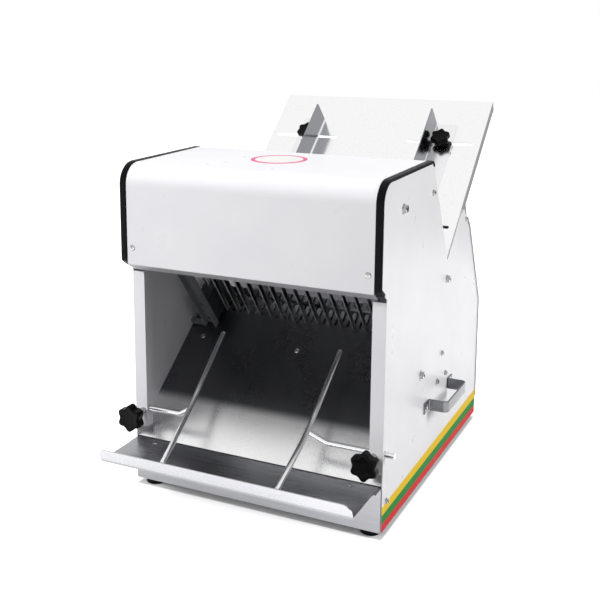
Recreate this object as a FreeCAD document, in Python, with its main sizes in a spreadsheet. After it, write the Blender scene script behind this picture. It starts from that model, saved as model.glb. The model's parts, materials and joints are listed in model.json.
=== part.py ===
import FreeCAD, Part
import math
import os
from FreeCAD import Placement, Rotation, Vector

# Table-top bread slicer: side panels, feed board, two blade frames, chute, shelf and drive.
doc = FreeCAD.newDocument("bread_slicer")
dims = doc.addObject("Spreadsheet::Sheet", "dims")

# Driving dimensions in millimetres and degrees.
SIZES = [
    ("body_width", 470.0),
    ("body_depth", 575.0),
    ("sheet", 1.5),
    ("slip", 0.1),
    ("seat", 0.3),
    ("post_width", 23.4),
    ("post_return", 18.0),
    ("post_bottom", 100.2),
    ("post_top", 385.0),
    ("shelf_height", 79.3),
    ("hood_overhang", 29.6),
    ("hood_bottom", 404.0),
    ("hood_front_top", 576.0),
    ("hood_rear_top", 582.0),
    ("hood_rear", 216.0),
    ("hood_bend", 36.0),
    ("hood_opening", 165.0),
    ("trim_width", 10.7),
    ("trim_depth", 4.0),
    ("trim_cover", 1.6),
    ("vee_rear_top", 404.0),
    ("vee_apex_y", 327.0),
    ("vee_apex_z", 384.0),
    ("rear_lobe_y", 430.0),
    ("rear_lobe_z", 465.0),
    ("rear_slope_y", 474.0),
    ("rear_slope_z", 426.0),
    ("rear_knee_inset", 4.0),
    ("rear_knee_z", 253.0),
    ("chute_slope", 38.7),
    ("chute_length", 326.6),
    ("slot_length", 35.3),
    ("slot_width", 4.2),
    ("blade_pitch", 12.0),
    ("blade_count", 30.0),
    ("blade_width", 11.0),
    ("blade_sheet", 0.8),
    ("blade_line", 305.9),
    ("frame_half_gap", 2.0),
    ("bar_depth", 13.0),
    ("bar_height", 20.0),
    ("bar_half_length", 202.0),
    ("rod_offset", 192.0),
    ("rod_radius", 6.0),
    ("lower_bar", -42.0),
    ("upper_bar", 320.0),
    ("throw", 15.0),
    ("crank_drop", 116.0),
    ("shelf_depth", 112.0),
    ("shelf_half", 230.0),
    ("lip_rise", 27.0),
    ("lip_lean", 13.0),
    ("lip_corner", 16.0),
    ("board_slope", 41.8),
    ("board_top_y", 629.0),
    ("board_top_z", 659.0),
    ("board_length", 525.0),
    ("board_half", 233.2),
    ("board_flange", 18.0),
    ("board_lip", 32.0),
    ("guide_slot_upper", 121.4),
    ("guide_slot_lower", 334.0),
    ("guide_slot_inner", 80.0),
    ("guide_slot_outer", 220.0),
    ("guide_slot_height", 7.0),
    ("infeed_left", 122.0),
    ("infeed_right", 130.0),
    ("infeed_base", 46.0),
    ("infeed_rise", 54.0),
    ("infeed_sheet", 2.0),
    ("infeed_start", 72.0),
    ("infeed_length", 436.0),
    ("outfeed_left", 127.0),
    ("outfeed_right", 100.0),
    ("outfeed_rod", 5.0),
    ("outfeed_upper", 162.0),
    ("outfeed_lower", 122.0),
    ("outfeed_tip_slope", 26.5),
    ("outfeed_splay", 3.4),
    ("knee_rise", 13.0),
    ("arm_y", 8.0),
    ("arm_z", 133.0),
    ("knob_x", 219.2),
    ("knob_z", 129.8),
    ("knob_radius", 24.3),
    ("small_knob_radius", 20.0),
    ("foot_radius", 18.0),
    ("foot_height", 12.0),
    ("foot_side_inset", 26.0),
    ("foot_end_inset", 22.0),
    ("handle_z", 138.0),
    ("handle_y", 294.5),
    ("handle_reach", 35.0),
    ("handle_height", 21.0),
    ("motor_radius", 58.0),
    ("motor_y", 152.0),
    ("motor_z", 110.0),
    ("big_pulley_radius", 85.0),
    ("small_pulley_radius", 26.0),
    ("pulley_width", 15.0),
    ("tray_height", 32.0),
]
for row, (alias, number) in enumerate(SIZES, start=1):
    dims.set("A%d" % row, alias)
    dims.set("B%d" % row, "%g" % number)
    dims.setAlias("B%d" % row, alias)
doc.recompute()


def size(alias):
    return float(getattr(dims, alias))


WIDTH = size("body_width")
HALF = WIDTH / 2
SHEET = size("sheet")
SLIP = size("slip")
SEAT = size("seat")
INNER = HALF - SHEET
CHUTE = math.radians(size("chute_slope"))
BOARD = math.radians(size("board_slope"))
SHELF_Z = size("shelf_height")
nodes = []
pan_screws = []


def keep(item, label):
    item.Label = label
    nodes.append(item)
    return item


def turned(base, degrees, axis=Vector(1, 0, 0)):
    return Placement(base, Rotation(axis, degrees))


# Blade line: the blades stand square to the chute and pass through its slots.
BLADE_FOOT = Vector(
    0, size("blade_line") * math.cos(CHUTE), SHELF_Z + size("blade_line") * math.sin(CHUTE)
)
BLADE_PLACE = turned(BLADE_FOOT, size("chute_slope"))
CHUTE_PLACE = turned(Vector(0, 0, SHELF_Z), size("chute_slope"))
BOARD_PLACE = turned(Vector(0, size("board_top_y"), size("board_top_z")), size("board_slope"))
CRANK = BLADE_PLACE.multVec(Vector(0, 0, -size("crank_drop")))


def corner_edges(points):
    """Straight edges and corner arcs of a closed outline; a point may carry a radius."""
    count = len(points)
    starts = []
    ends = []
    arcs = []
    for index in range(count):
        here = Vector(points[index][0], points[index][1], 0)
        radius = points[index][2] if len(points[index]) > 2 else 0
        before = Vector(points[index - 1][0], points[index - 1][1], 0)
        after = Vector(points[(index + 1) % count][0], points[(index + 1) % count][1], 0)
        if radius <= 0:
            starts.append(here)
            ends.append(here)
            arcs.append(None)
            continue
        back = (before - here).normalize()
        forth = (after - here).normalize()
        half_angle = back.getAngle(forth) / 2
        reach = radius / math.tan(half_angle)
        first = here + back * reach
        last = here + forth * reach
        middle_way = (back + forth).normalize()
        centre = here + middle_way * (radius / math.sin(half_angle))
        starts.append(first)
        ends.append(last)
        arcs.append(Part.Arc(first, centre - middle_way * radius, last))
    edges = []
    for index in range(count):
        if arcs[index] is not None:
            edges.append(arcs[index])
        following = (index + 1) % count
        if (ends[index] - starts[following]).Length > 0.0001:
            edges.append(Part.LineSegment(ends[index], starts[following]))
    return edges


def strip(points, thickness):
    """Closed outline of a bent sheet: the given line and its copy moved to the left."""
    flats = [Vector(p[0], p[1], 0) for p in points]
    bends = [p[2] if len(p) > 2 else 0 for p in points]
    moved = []
    for index, here in enumerate(flats):
        sides = []
        if index > 0:
            sides.append((here - flats[index - 1]).normalize())
        if index < len(flats) - 1:
            sides.append((flats[index + 1] - here).normalize())
        normals = [Vector(-s.y, s.x, 0) for s in sides]
        total = Vector(0, 0, 0)
        for normal in normals:
            total = total + normal
        total.normalize()
        moved.append(here + total * (thickness / total.dot(normals[0])))
    outline = []
    for index, here in enumerate(flats):
        outline.append((here.x, here.y, bends[index] and bent(flats, index, bends, 0)))
    for index in range(len(flats) - 1, -1, -1):
        far = bends[index] and bent(flats, index, bends, thickness)
        outline.append((moved[index].x, moved[index].y, far))
    return outline


def bent(flats, index, bends, thickness):
    before = flats[index] - flats[index - 1]
    after = flats[index + 1] - flats[index]
    left_turn = before.x * after.y - before.y * after.x > 0
    return bends[index] - thickness if left_turn else bends[index] + thickness


def sketch_on(body, plane, outlines, offset):
    drawing = body.newObject("Sketcher::SketchObject", "Sketch")
    origin = [f for f in body.Origin.OriginFeatures if f.Role == plane][0]
    drawing.AttachmentSupport = [(origin, "")]
    drawing.MapMode = "FlatFace"
    drawing.AttachmentOffset = Placement(Vector(0, 0, offset), Rotation())
    for outline in outlines:
        if outline[0] == "circle":
            middle = Vector(outline[1], outline[2], 0)
            drawing.addGeometry(Part.Circle(middle, Vector(0, 0, 1), outline[3]), False)
        else:
            for edge in corner_edges(outline):
                drawing.addGeometry(edge, False)
    return drawing


def add_pad(body, plane, outlines, start, length, expression=None):
    drawing = sketch_on(body, plane, outlines, start)
    pad = body.newObject("PartDesign::Pad", "Pad")
    pad.Profile = drawing
    pad.Length = length
    if expression:
        pad.setExpression("Length", expression)
    drawing.Visibility = False
    return pad


def add_pocket(body, plane, outlines, top, depth):
    """A cut that starts on a plane and goes against the plane's own direction."""
    drawing = sketch_on(body, plane, outlines, top)
    pocket = body.newObject("PartDesign::Pocket", "Pocket")
    pocket.Profile = drawing
    pocket.Length = depth
    drawing.Visibility = False
    return pocket


def loose_body(placement=None):
    body = doc.addObject("PartDesign::Body", "Piece")
    body.Placement = placement or Placement()
    return body


def new_body(label, placement=None):
    return keep(loose_body(placement), label)


def rectangle(x0, y0, x1, y1, radius=0):
    return [(x0, y0, radius), (x1, y0, radius), (x1, y1, radius), (x0, y1, radius)]


def box(x0, y0, z0, x1, y1, z1):
    item = doc.addObject("Part::Box", "Box")
    item.Length = x1 - x0
    item.Width = y1 - y0
    item.Height = z1 - z0
    item.Placement = Placement(Vector(x0, y0, z0), Rotation())
    return item


def cylinder(start, end, radius):
    item = doc.addObject("Part::Cylinder", "Cylinder")
    item.Radius = radius
    item.Height = (end - start).Length
    item.Placement = Placement(start, Rotation(Vector(0, 0, 1), end - start))
    return item


def ball(centre, radius):
    item = doc.addObject("Part::Sphere", "Ball")
    item.Radius = radius
    item.Placement = Placement(centre, Rotation())
    return item


def fused(items, label=None, placement=None):
    item = doc.addObject("Part::MultiFuse", "Joined")
    item.Shapes = items
    if placement:
        item.Placement = placement
    return keep(item, label) if label else item


def cut(base, tools, label=None, placement=None):
    tool = tools[0] if len(tools) == 1 else fused(tools)
    item = doc.addObject("Part::Cut", "Cut")
    item.Base = base
    item.Tool = tool
    if placement:
        item.Placement = placement
    return keep(item, label) if label else item


def group(items, label, placement=None):
    item = doc.addObject("Part::Compound", "Group")
    item.Links = items
    if placement:
        item.Placement = placement
    return keep(item, label)


def screw(seat_point, outward, head_radius, head_height, shank_radius, shank_length, socket=0):
    """One screw: a round head on the seat and a shank that goes inward."""
    direction = Vector(outward)
    direction.normalize()
    head = cylinder(seat_point, seat_point + direction * head_height, head_radius)
    shank = cylinder(seat_point - direction * shank_length, seat_point + direction, shank_radius)
    whole = fused([head, shank])
    if socket > 0:
        start = seat_point + direction * (head_height / 2)
        hole = cylinder(start, start + direction * head_height, socket)
        return cut(whole, [hole])
    return whole


def pan_screw(seat_point, outward):
    return screw(seat_point, outward, 5.0, 2.4, SMALL_SHANK, 8.0)


def each_side():
    return (("left", -1), ("right", 1))


# Screw places on each side panel, as (Y, Z).
TIE_BOLTS = [(66.5, 523.0), (328.0, 350.0), (185.0, 209.0)]
SMALL_BOLTS = [(221.8, 526.6), (444.7, 443.5), (19.5, 48.0)]
BEARING_CIRCLE = 31.4
TIE_SHANK = 4.0
SMALL_SHANK = 2.5
BEARING_TURNS = [math.radians(turn) for turn in (0, 120, 240)]
BEARING_BOLTS = [
    (CRANK.y + BEARING_CIRCLE * math.sin(turn), CRANK.z + BEARING_CIRCLE * math.cos(turn))
    for turn in BEARING_TURNS
]
HANDLE_SPAN = 59.0
HANDLE_SCREW = 72.0
HANDLE_TAB = 14.0
HANDLE_SHEET = 3.0
HANDLE_BOLTS = [(size("handle_y") + turn * HANDLE_SCREW, size("handle_z")) for turn in (-1, 1)]
ARM_HOLE = size("outfeed_rod") + 1.0
BUSH = 5.5
BUSH_OUT = 14.0
HOOD_SCREW_X = 214.0
HOOD_SCREW_Z = 434.0


def rear_knee():
    return (size("body_depth") - size("rear_knee_inset"), size("rear_knee_z"), 20)


def panel_outline():
    over = size("hood_overhang")
    rear_rise = (size("vee_rear_top") - size("vee_apex_y")) * math.tan(BOARD)
    return [
        (0, 0),
        (size("body_depth"), 0),
        rear_knee(),
        (size("rear_slope_y"), size("rear_slope_z"), 12),
        (size("rear_lobe_y"), size("rear_lobe_z"), 8),
        (size("vee_rear_top"), size("vee_apex_z") + rear_rise),
        (size("vee_apex_y"), size("vee_apex_z"), 2),
        (size("hood_rear") + 8, size("hood_rear_top") - 8, 12),
        (size("hood_rear"), size("hood_rear_top") - 1, 4),
        (-over, size("hood_front_top"), size("hood_bend")),
        (-over, size("hood_bottom") + 7, 3),
        (0, size("post_top") + 6),
    ]


def side_panel(label, side):
    body = new_body(label)
    start = INNER if side > 0 else -HALF
    add_pad(body, "YZ_Plane", [panel_outline()], start, SHEET, "dims.sheet")
    flange = size("post_width")
    inner_edge = HALF - flange
    bottom = size("post_bottom")
    x0, x1 = (inner_edge, HALF) if side > 0 else (-HALF, -inner_edge)
    add_pad(body, "XY_Plane", [rectangle(x0, 0, x1, SHEET)], bottom, size("post_top") - bottom)
    r0, r1 = (inner_edge, inner_edge + SHEET) if side > 0 else (-inner_edge - SHEET, -inner_edge)
    add_pad(body, "XY_Plane", [rectangle(r0, 0, r1, size("post_return"))], bottom, size("post_top") - bottom)
    tab_y = -size("hood_overhang") + size("trim_depth") + 3 * SLIP
    tab_x0, tab_x1 = sorted((side * (HOOD_SCREW_X - 10), side * (HALF - SHEET / 2)))
    tab_z = size("hood_bottom") + 14
    tab_h = size("hood_front_top") - size("hood_bend") - tab_z
    add_pad(body, "XY_Plane", [rectangle(tab_x0, tab_y, tab_x1, tab_y + SHEET)], tab_z, tab_h)
    boss = size("trim_depth") - SHEET
    add_pad(body, "XZ_Plane", [("circle", side * HOOD_SCREW_X, HOOD_SCREW_Z, 6.0)], -tab_y, boss)
    top = HALF + SHEET
    holes = [("circle", y, z, TIE_SHANK + SLIP) for y, z in TIE_BOLTS]
    holes += [("circle", y, z, SMALL_SHANK + SLIP) for y, z in SMALL_BOLTS + BEARING_BOLTS + HANDLE_BOLTS]
    holes.append(("circle", size("arm_y"), size("arm_z"), ARM_HOLE))
    depth = WIDTH / 10
    add_pocket(body, "YZ_Plane", holes, top if side > 0 else -HALF + depth, depth + SHEET)
    clamp = [("circle", side * size("knob_x"), size("knob_z"), BUSH + SLIP)]
    add_pocket(body, "XZ_Plane", clamp, SHEET, 3 * SHEET)
    hood_hole = [("circle", side * HOOD_SCREW_X, HOOD_SCREW_Z, SMALL_SHANK + SLIP)]
    add_pocket(body, "XZ_Plane", hood_hole, size("hood_overhang") + SHEET, size("hood_overhang"))
    return body


side_panel("side_panel_left", -1)
side_panel("side_panel_right", 1)


# Hood: one bent sheet over the front lobes, with a folded lip in front and a rear wall.
def hood():
    over = size("hood_overhang")
    half = HALF - size("trim_width") - SEAT
    rear_run = Vector(size("vee_apex_y") - size("hood_rear"), size("vee_apex_z") - size("hood_rear_top"), 0)
    wall = rear_run * ((rear_run.Length - size("hood_opening")) / rear_run.Length)
    path = [
        (size("hood_rear") + wall.x, size("hood_rear_top") + wall.y),
        (size("hood_rear"), size("hood_rear_top"), 6),
        (-over, size("hood_front_top"), size("hood_bend")),
        (-over, size("hood_bottom"), 3),
        (-over + 16, size("hood_bottom") - 11),
    ]
    body = new_body("hood")
    add_pad(body, "YZ_Plane", [strip(path, SHEET)], -half, 2 * half)
    holes = [("circle", side * HOOD_SCREW_X, HOOD_SCREW_Z, SMALL_SHANK + SLIP) for side in (-1, 1)]
    add_pocket(body, "XZ_Plane", holes, over + SHEET, 3 * SHEET)
    return body


hood()
seats = [Vector(side * HOOD_SCREW_X, -size("hood_overhang"), HOOD_SCREW_Z) for side in (-1, 1)]
pan_screws += [pan_screw(p, Vector(0, -1, 0)) for p in seats]


# Black edge trim: a channel pushed over the curved edge of each front lobe.
def edge_trim(label, side):
    over = size("hood_overhang")
    cover = size("trim_cover")
    path = [
        (-over + 16, size("hood_bottom") - 4),
        (-over, size("hood_bottom") + 7, 3),
        (-over, size("hood_front_top"), size("hood_bend")),
        (size("hood_rear"), size("hood_rear_top") - 1, 4),
        (size("hood_rear") + 8, size("hood_rear_top") - 8),
    ]
    outer = [Vector(p[0], p[1], 0) for p in path]
    body = new_body(label)
    whole = size("trim_width") + SHEET
    inner_x = HALF - size("trim_width")
    shell = strip(shifted(path, cover), -(size("trim_depth") + cover))
    x0 = inner_x if side > 0 else -inner_x - whole
    add_pad(body, "YZ_Plane", [shell], x0, whole)
    groove = strip(shifted(path, SLIP), -(size("trim_depth") + cover))
    top = HALF + SLIP if side > 0 else -INNER + SLIP
    add_pocket(body, "YZ_Plane", [groove], top, SHEET + 2 * SLIP)
    return body


def shifted(path, distance):
    """The same bent line moved to its left by a distance, bends kept round its centre."""
    count = len(path)
    whole = strip(path, distance)
    moved = [whole[2 * count - 1 - index] for index in range(count)]
    return [(p[0], p[1], p[2]) if p[2] else (p[0], p[1]) for p in moved]


edge_trim("edge_trim_left", -1)
edge_trim("edge_trim_right", 1)

# Floor of the machine: a pan between the panels with two tray rails, and feet under it.
TRAY_HALF = 190.0
TRAY_FRONT = 90.0
RAIL_GAP = 0.5


def foot_places():
    x = HALF - size("foot_side_inset")
    front = size("foot_end_inset")
    rear = size("body_depth") - front
    return [(-x, front), (x, front), (-x, rear), (x, rear)]


def base_pan():
    wall = SHEET + SEAT
    body = new_body("base_pan")
    edge = INNER - SLIP
    depth = size("body_depth")
    add_pad(body, "XY_Plane", [rectangle(-edge, wall, edge, depth - wall)], 0, SHEET)
    for side in (-1, 1):
        x0, x1 = sorted((side * edge, side * (edge - SHEET)))
        add_pad(body, "XY_Plane", [rectangle(x0, wall, x1, depth - wall)], 0, 18)
        x0, x1 = sorted((side * (TRAY_HALF + RAIL_GAP), side * (TRAY_HALF + RAIL_GAP + SHEET)))
        add_pad(body, "XY_Plane", [rectangle(x0, TRAY_FRONT, x1, depth - 8)], 0, 16)
        x0, x1 = sorted((side * (TRAY_HALF - 14), side * (TRAY_HALF + RAIL_GAP + SHEET)))
        add_pad(body, "XY_Plane", [rectangle(x0, TRAY_FRONT, x1, depth - 8)], 0, 2 * SHEET)
    holes = [("circle", x, y, TIE_SHANK + SLIP) for x, y in foot_places()]
    add_pocket(body, "XY_Plane", holes, 3 * SHEET, 5 * SHEET)


def feet():
    pads = []
    drop = size("foot_height")
    for x, y in foot_places():
        pad = cylinder(Vector(x, y, -drop), Vector(x, y, 0), size("foot_radius"))
        hollow = cylinder(Vector(x, y, -drop - 1), Vector(x, y, 6 - drop), size("foot_radius") / 2)
        bore = cylinder(Vector(x, y, -drop), Vector(x, y, 1), TIE_SHANK + SLIP)
        pads.append(cut(pad, [hollow, bore]))
    group(pads, "feet")
    seats = [Vector(x, y, 6 - drop) for x, y in foot_places()]
    group([screw(p, Vector(0, 0, -1), 7.0, 4.0, TIE_SHANK, 10.0) for p in seats], "foot_screws")


base_pan()
feet()

# Grey front panel under the shelf, with a top flange that the shelf is screwed to.
SHELF_SCREW_X = 185.0
SHELF_SCREW_Y = -14.0


def front_panel():
    top = SHELF_Z - SHEET
    body = new_body("front_panel")
    edge = INNER - SLIP
    add_pad(body, "YZ_Plane", [strip([(-26, top), (0, top, 2), (0, 0.2)], -SHEET)], -edge, 2 * edge)
    holes = [("circle", s * SHELF_SCREW_X, SHELF_SCREW_Y, SMALL_SHANK + SLIP) for s in (-1, 1)]
    add_pocket(body, "XY_Plane", holes, top + SHEET, 4 * SHEET)
    tab_y, tab_z = SMALL_BOLTS[2]
    for s in (-1, 1):
        x0, x1 = sorted((s * edge, s * (edge - SHEET)))
        add_pad(body, "YZ_Plane", [rectangle(-SHEET / 2, tab_z - 22, tab_y + 12, tab_z + 10)], x0, x1 - x0)
    add_pocket(body, "YZ_Plane", [("circle", tab_y, tab_z, SMALL_SHANK + SLIP)], HALF, WIDTH)


# Shelf: a flat plate in front of the posts with an upright lip that has round corners.
def shelf():
    half = size("shelf_half")
    deep = size("shelf_depth")
    plate = loose_body()
    add_pad(plate, "XY_Plane", [rectangle(-half, -deep, half, 0)], SHELF_Z - SHEET, SHEET)
    holes = [("circle", s * SHELF_SCREW_X, SHELF_SCREW_Y, SMALL_SHANK + SLIP) for s in (-1, 1)]
    add_pocket(plate, "XY_Plane", holes, SHELF_Z + SHEET, 4 * SHEET)
    lean = math.degrees(math.atan2(size("lip_lean"), size("lip_rise")))
    rise = math.hypot(size("lip_lean"), size("lip_rise"))
    corner = size("lip_corner")
    lip = loose_body(turned(Vector(0, SHEET - deep, SHELF_Z - SHEET), lean))
    add_pad(lip, "XZ_Plane", [[(-half, 0), (half, 0), (half, rise, corner), (-half, rise, corner)]], 0, SHEET)
    fused([plate, lip], "shelf")
    seats = [Vector(s * SHELF_SCREW_X, SHELF_SCREW_Y, SHELF_Z) for s in (-1, 1)]
    pan_screws.extend([pan_screw(p, Vector(0, 0, 1)) for p in seats])


front_panel()
shelf()

# Chute: a polished sloping plate with a slot for every blade in its top end.
CHUTE_SCREW_X = 199.0
CHUTE_SCREW_Y = 226.0
STRAP_HALF = 12.0
STRAP_SHEET = 2.0
ROD_RELIEF = 13.0
FRAME_RELIEF = 20.0


def blade_places():
    count = int(size("blade_count"))
    first = -size("blade_pitch") * (count - 1) / 2
    return [first + size("blade_pitch") * index for index in range(count)]


def chute():
    body = new_body("chute", CHUTE_PLACE)
    edge = INNER - SLIP
    long = size("chute_length")
    lower = SHEET + SEAT
    add_pad(body, "XY_Plane", [rectangle(-edge, lower, edge, long)], -SHEET, SHEET)
    half = size("slot_width") / 2
    slots = [rectangle(x - half, long - size("slot_length"), x + half, long + SHEET) for x in blade_places()]
    add_pocket(body, "XY_Plane", slots, SHEET, 4 * SHEET)
    holes = [("circle", x, CHUTE_SCREW_Y, SMALL_SHANK + SLIP) for x in (-CHUTE_SCREW_X, 0, CHUTE_SCREW_X)]
    add_pocket(body, "XY_Plane", holes, SHEET, 4 * SHEET)
    relief = []
    ahead = size("blade_line") - FRAME_RELIEF
    for s in (-1, 1):
        x = s * size("rod_offset")
        relief.append(rectangle(x - ROD_RELIEF, ahead, x + ROD_RELIEF, long + SHEET))
    add_pocket(body, "XY_Plane", relief, SHEET, 4 * SHEET)
    tie = new_body("chute_tie", CHUTE_PLACE)
    near = CHUTE_SCREW_Y - STRAP_HALF
    far = CHUTE_SCREW_Y + STRAP_HALF
    add_pad(tie, "XY_Plane", [rectangle(-edge, near, edge, far)], -3 * SHEET, 2 * SHEET)
    bolt = CHUTE_PLACE.inverse().multVec(Vector(0, TIE_BOLTS[2][0], TIE_BOLTS[2][1]))
    for s in (-1, 1):
        x0, x1 = sorted((s * edge, s * (edge - STRAP_SHEET)))
        y0 = min(near, bolt.y - STRAP_HALF)
        y1 = max(far, bolt.y + STRAP_HALF)
        z0 = bolt.z - STRAP_HALF
        add_pad(tie, "XY_Plane", [rectangle(x0, y0, x1, y1)], z0, -SHEET - SLIP - z0)
    holes = [("circle", x, CHUTE_SCREW_Y, SMALL_SHANK + SLIP) for x in (-CHUTE_SCREW_X, 0, CHUTE_SCREW_X)]
    add_pocket(tie, "XY_Plane", holes, 0, 6 * SHEET)
    ends = [("circle", bolt.y, bolt.z, TIE_SHANK + SLIP)]
    add_pocket(tie, "YZ_Plane", ends, HALF, WIDTH)
    seats = [CHUTE_PLACE.multVec(Vector(x, CHUTE_SCREW_Y, 0)) for x in (-CHUTE_SCREW_X, 0, CHUTE_SCREW_X)]
    up = CHUTE_PLACE.Rotation.multVec(Vector(0, 0, 1))
    pan_screws.extend([pan_screw(p, up) for p in seats])


chute()


# Feed board: a steep plate with side flanges, a lower lip and four clamp slots.
def feed_board():
    body = new_body("feed_board", BOARD_PLACE)
    half = size("board_half")
    long = size("board_length")
    flange = size("board_flange")
    add_pad(body, "XY_Plane", [rectangle(-half, -long, half, 0)], -SHEET, SHEET)
    for s in (-1, 1):
        x0, x1 = sorted((s * half, s * (half - SHEET)))
        low = BOARD_BOLT.z - LUG_BELOW
        lug = [(BOARD_BOLT.y + LUG_FOOT, -flange), (BOARD_BOLT.y + LUG_HALF, low, 6)]
        lug += [(BOARD_BOLT.y - LUG_HALF, low, 6), (BOARD_BOLT.y - LUG_FOOT, -flange)]
        cheek = [(-long, 0), (0, 0), (-flange / 3, -flange)] + lug + [(-long, -flange)]
        add_pad(body, "YZ_Plane", [cheek], x0, x1 - x0)
    add_pad(body, "XZ_Plane", [rectangle(-half, -size("board_lip"), half, 0)], long - SHEET, SHEET)
    inner = size("guide_slot_inner")
    outer = size("guide_slot_outer")
    tall = size("guide_slot_height") / 2
    slots = []
    for s in (-1, 1):
        for down in (size("guide_slot_upper"), size("guide_slot_lower")):
            x0, x1 = sorted((s * inner, s * outer))
            slots.append(rectangle(x0, -down - tall, x1, -down + tall, tall - 0.1))
    add_pocket(body, "XY_Plane", slots, SHEET, 4 * SHEET)
    cheek = [("circle", BOARD_BOLT.y, BOARD_BOLT.z, SMALL_SHANK + SLIP)]
    add_pocket(body, "YZ_Plane", cheek, half + 1, 2 * half + 4)


LUG_HALF = 12.0
LUG_FOOT = 20.0
LUG_BELOW = 8.0
BOARD_BOLT = BOARD_PLACE.inverse().multVec(Vector(0, SMALL_BOLTS[1][0], SMALL_BOLTS[1][1]))
feed_board()

# Star knobs: a lobed head on a collar with a threaded stud.
LOBES = 6


def star_knob(label, placement, radius, height, stud_radius, stud_length, collar):
    head = loose_body(placement)
    points = []
    for lobe in range(LOBES):
        for turn, reach, bend in ((-13, 1.0, 0.16), (13, 1.0, 0.16), (30, 0.74, 0.2)):
            angle = math.radians(lobe * 360 / LOBES + turn)
            points.append((reach * radius * math.sin(angle), reach * radius * math.cos(angle), bend * radius))
    points.reverse()
    add_pad(head, "XY_Plane", [points], collar, height)
    level = lambda z: placement.multVec(Vector(0, 0, z))
    neck = cylinder(level(0), level(collar + SHEET), radius * 0.42)
    stud = cylinder(level(-stud_length), level(SHEET), stud_radius)
    return fused([head, neck, stud], label)


# Infeed guides: an angle on the board, a star knob on its stud and a clamp strip underneath.
STUD = 3.0


def infeed_guide(name, side, fold):
    body = new_body("infeed_guide_" + name, BOARD_PLACE)
    thick = size("infeed_sheet")
    start = size("infeed_start")
    long = size("infeed_length")
    base = size("infeed_base")
    x0, x1 = sorted((fold, fold + side * base))
    add_pad(body, "XY_Plane", [rectangle(x0, -start - long, x1, -start)], 0, thick)
    x0, x1 = sorted((fold, fold + side * thick))
    rise = size("infeed_rise")
    upright = [(-start - long, 0), (-start, 0), (-start - 4, rise, 2), (-start - long, rise, 6)]
    add_pad(body, "YZ_Plane", [upright], x0, x1 - x0)
    middle = fold + side * base / 2
    spots = (size("guide_slot_upper"), size("guide_slot_lower"))
    holes = [("circle", middle, -down, STUD + SLIP) for down in spots]
    add_pocket(body, "XY_Plane", holes, 2 * thick, 4 * thick)
    clamp = loose_body()
    strip_top = -SHEET
    span = [rectangle(middle - 9, -spots[1] - 14, middle + 9, -spots[0] + 14, 3)]
    add_pad(clamp, "XY_Plane", span, strip_top - 3, 3)
    add_pocket(clamp, "XY_Plane", holes[:1], 0, 8)
    rivet = screw(Vector(middle, -spots[1], thick), Vector(0, 0, 1), 6.0, 4.0, STUD, thick + SHEET + 2)
    fused([clamp, rivet], "infeed_clamp_" + name, BOARD_PLACE)
    place = BOARD_PLACE.multiply(Placement(Vector(middle, -spots[0], thick), Rotation()))
    star_knob("infeed_knob_" + name, place, size("small_knob_radius"), 13.0, STUD, 12.0, 8.0)


infeed_guide("left", -1, -size("infeed_left"))
infeed_guide("right", 1, size("infeed_right"))


# Outfeed guides: a bent chromed rod along the chute and a cross arm held in a clamp.
def outfeed_guide(name, side, rod_x, arm_end, tip_inward, arm_bend):
    radius = size("outfeed_rod")
    x = side * rod_x
    arm_z = size("arm_z")
    knee = Vector(x, size("arm_y"), arm_z + size("knee_rise"))
    top = knee + Vector(0, math.cos(CHUTE), math.sin(CHUTE)) * size("outfeed_upper")
    top = top + Vector(side * size("outfeed_splay"), 0, 0)
    tip = math.radians(size("outfeed_tip_slope"))
    foot = knee - Vector(0, math.cos(tip), math.sin(tip)) * size("outfeed_lower")
    foot = foot - Vector(side * tip_inward, 0, 0)
    bend = Vector(x + side * arm_bend, size("arm_y"), arm_z)
    end = Vector(side * arm_end, size("arm_y"), arm_z)
    pieces = [cylinder(knee, top, radius), cylinder(knee, foot, radius), cylinder(knee, bend, radius)]
    pieces += [cylinder(bend, end, radius)] + [ball(place, radius) for place in (knee, bend, top, foot)]
    fused(pieces, "outfeed_guide_" + name)
    post = Vector(side * size("knob_x"), 0, size("knob_z"))
    edges = sorted((side * (HALF - size("post_width") + SHEET + SEAT), side * (HALF - 3 * SHEET)))
    tall = CLAMP_HALF
    block = box(edges[0], SHEET + SLIP, arm_z - tall, edges[1], 2 * size("arm_y"), arm_z + tall)
    bush = cylinder(post + Vector(0, -BUSH_OUT, 0), post + Vector(0, 2 * SHEET, 0), BUSH)
    along = lambda reach: Vector(side * reach, size("arm_y"), arm_z)
    bore = cylinder(along(HALF - 2 * size("post_width")), along(HALF + size("post_width")), radius + SLIP / 2)
    mouth = post + Vector(0, -BUSH_OUT - SHEET, 0)
    thread = cylinder(mouth, post + Vector(0, size("arm_y"), 0), KNOB_STUD + SLIP)
    place = turned(post + Vector(0, -BUSH_OUT - SEAT, 0), 90)
    stud = BUSH_OUT + SEAT + size("arm_y") - radius - SEAT
    star_knob("outfeed_knob_" + name, place, size("knob_radius"), KNOB_HEIGHT, KNOB_STUD, stud, KNOB_NECK)
    return cut(fused([block, bush]), [bore, thread])


CLAMP_HALF = 12.0
KNOB_HEIGHT = 18.0
KNOB_NECK = 15.2
KNOB_STUD = 4.0
LEFT_ARM_END = 229.0
RIGHT_ARM_END = 252.0
LEFT_TIP_INWARD = 12.5
RIGHT_TIP_INWARD = 2.5
LEFT_ARM_BEND = 21.0
RIGHT_ARM_BEND = 34.0
left_way = (size("outfeed_left"), LEFT_ARM_END, LEFT_TIP_INWARD, LEFT_ARM_BEND)
right_way = (size("outfeed_right"), RIGHT_ARM_END, RIGHT_TIP_INWARD, RIGHT_ARM_BEND)
group([outfeed_guide("left", -1, *left_way), outfeed_guide("right", 1, *right_way)], "outfeed_clamps")


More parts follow.
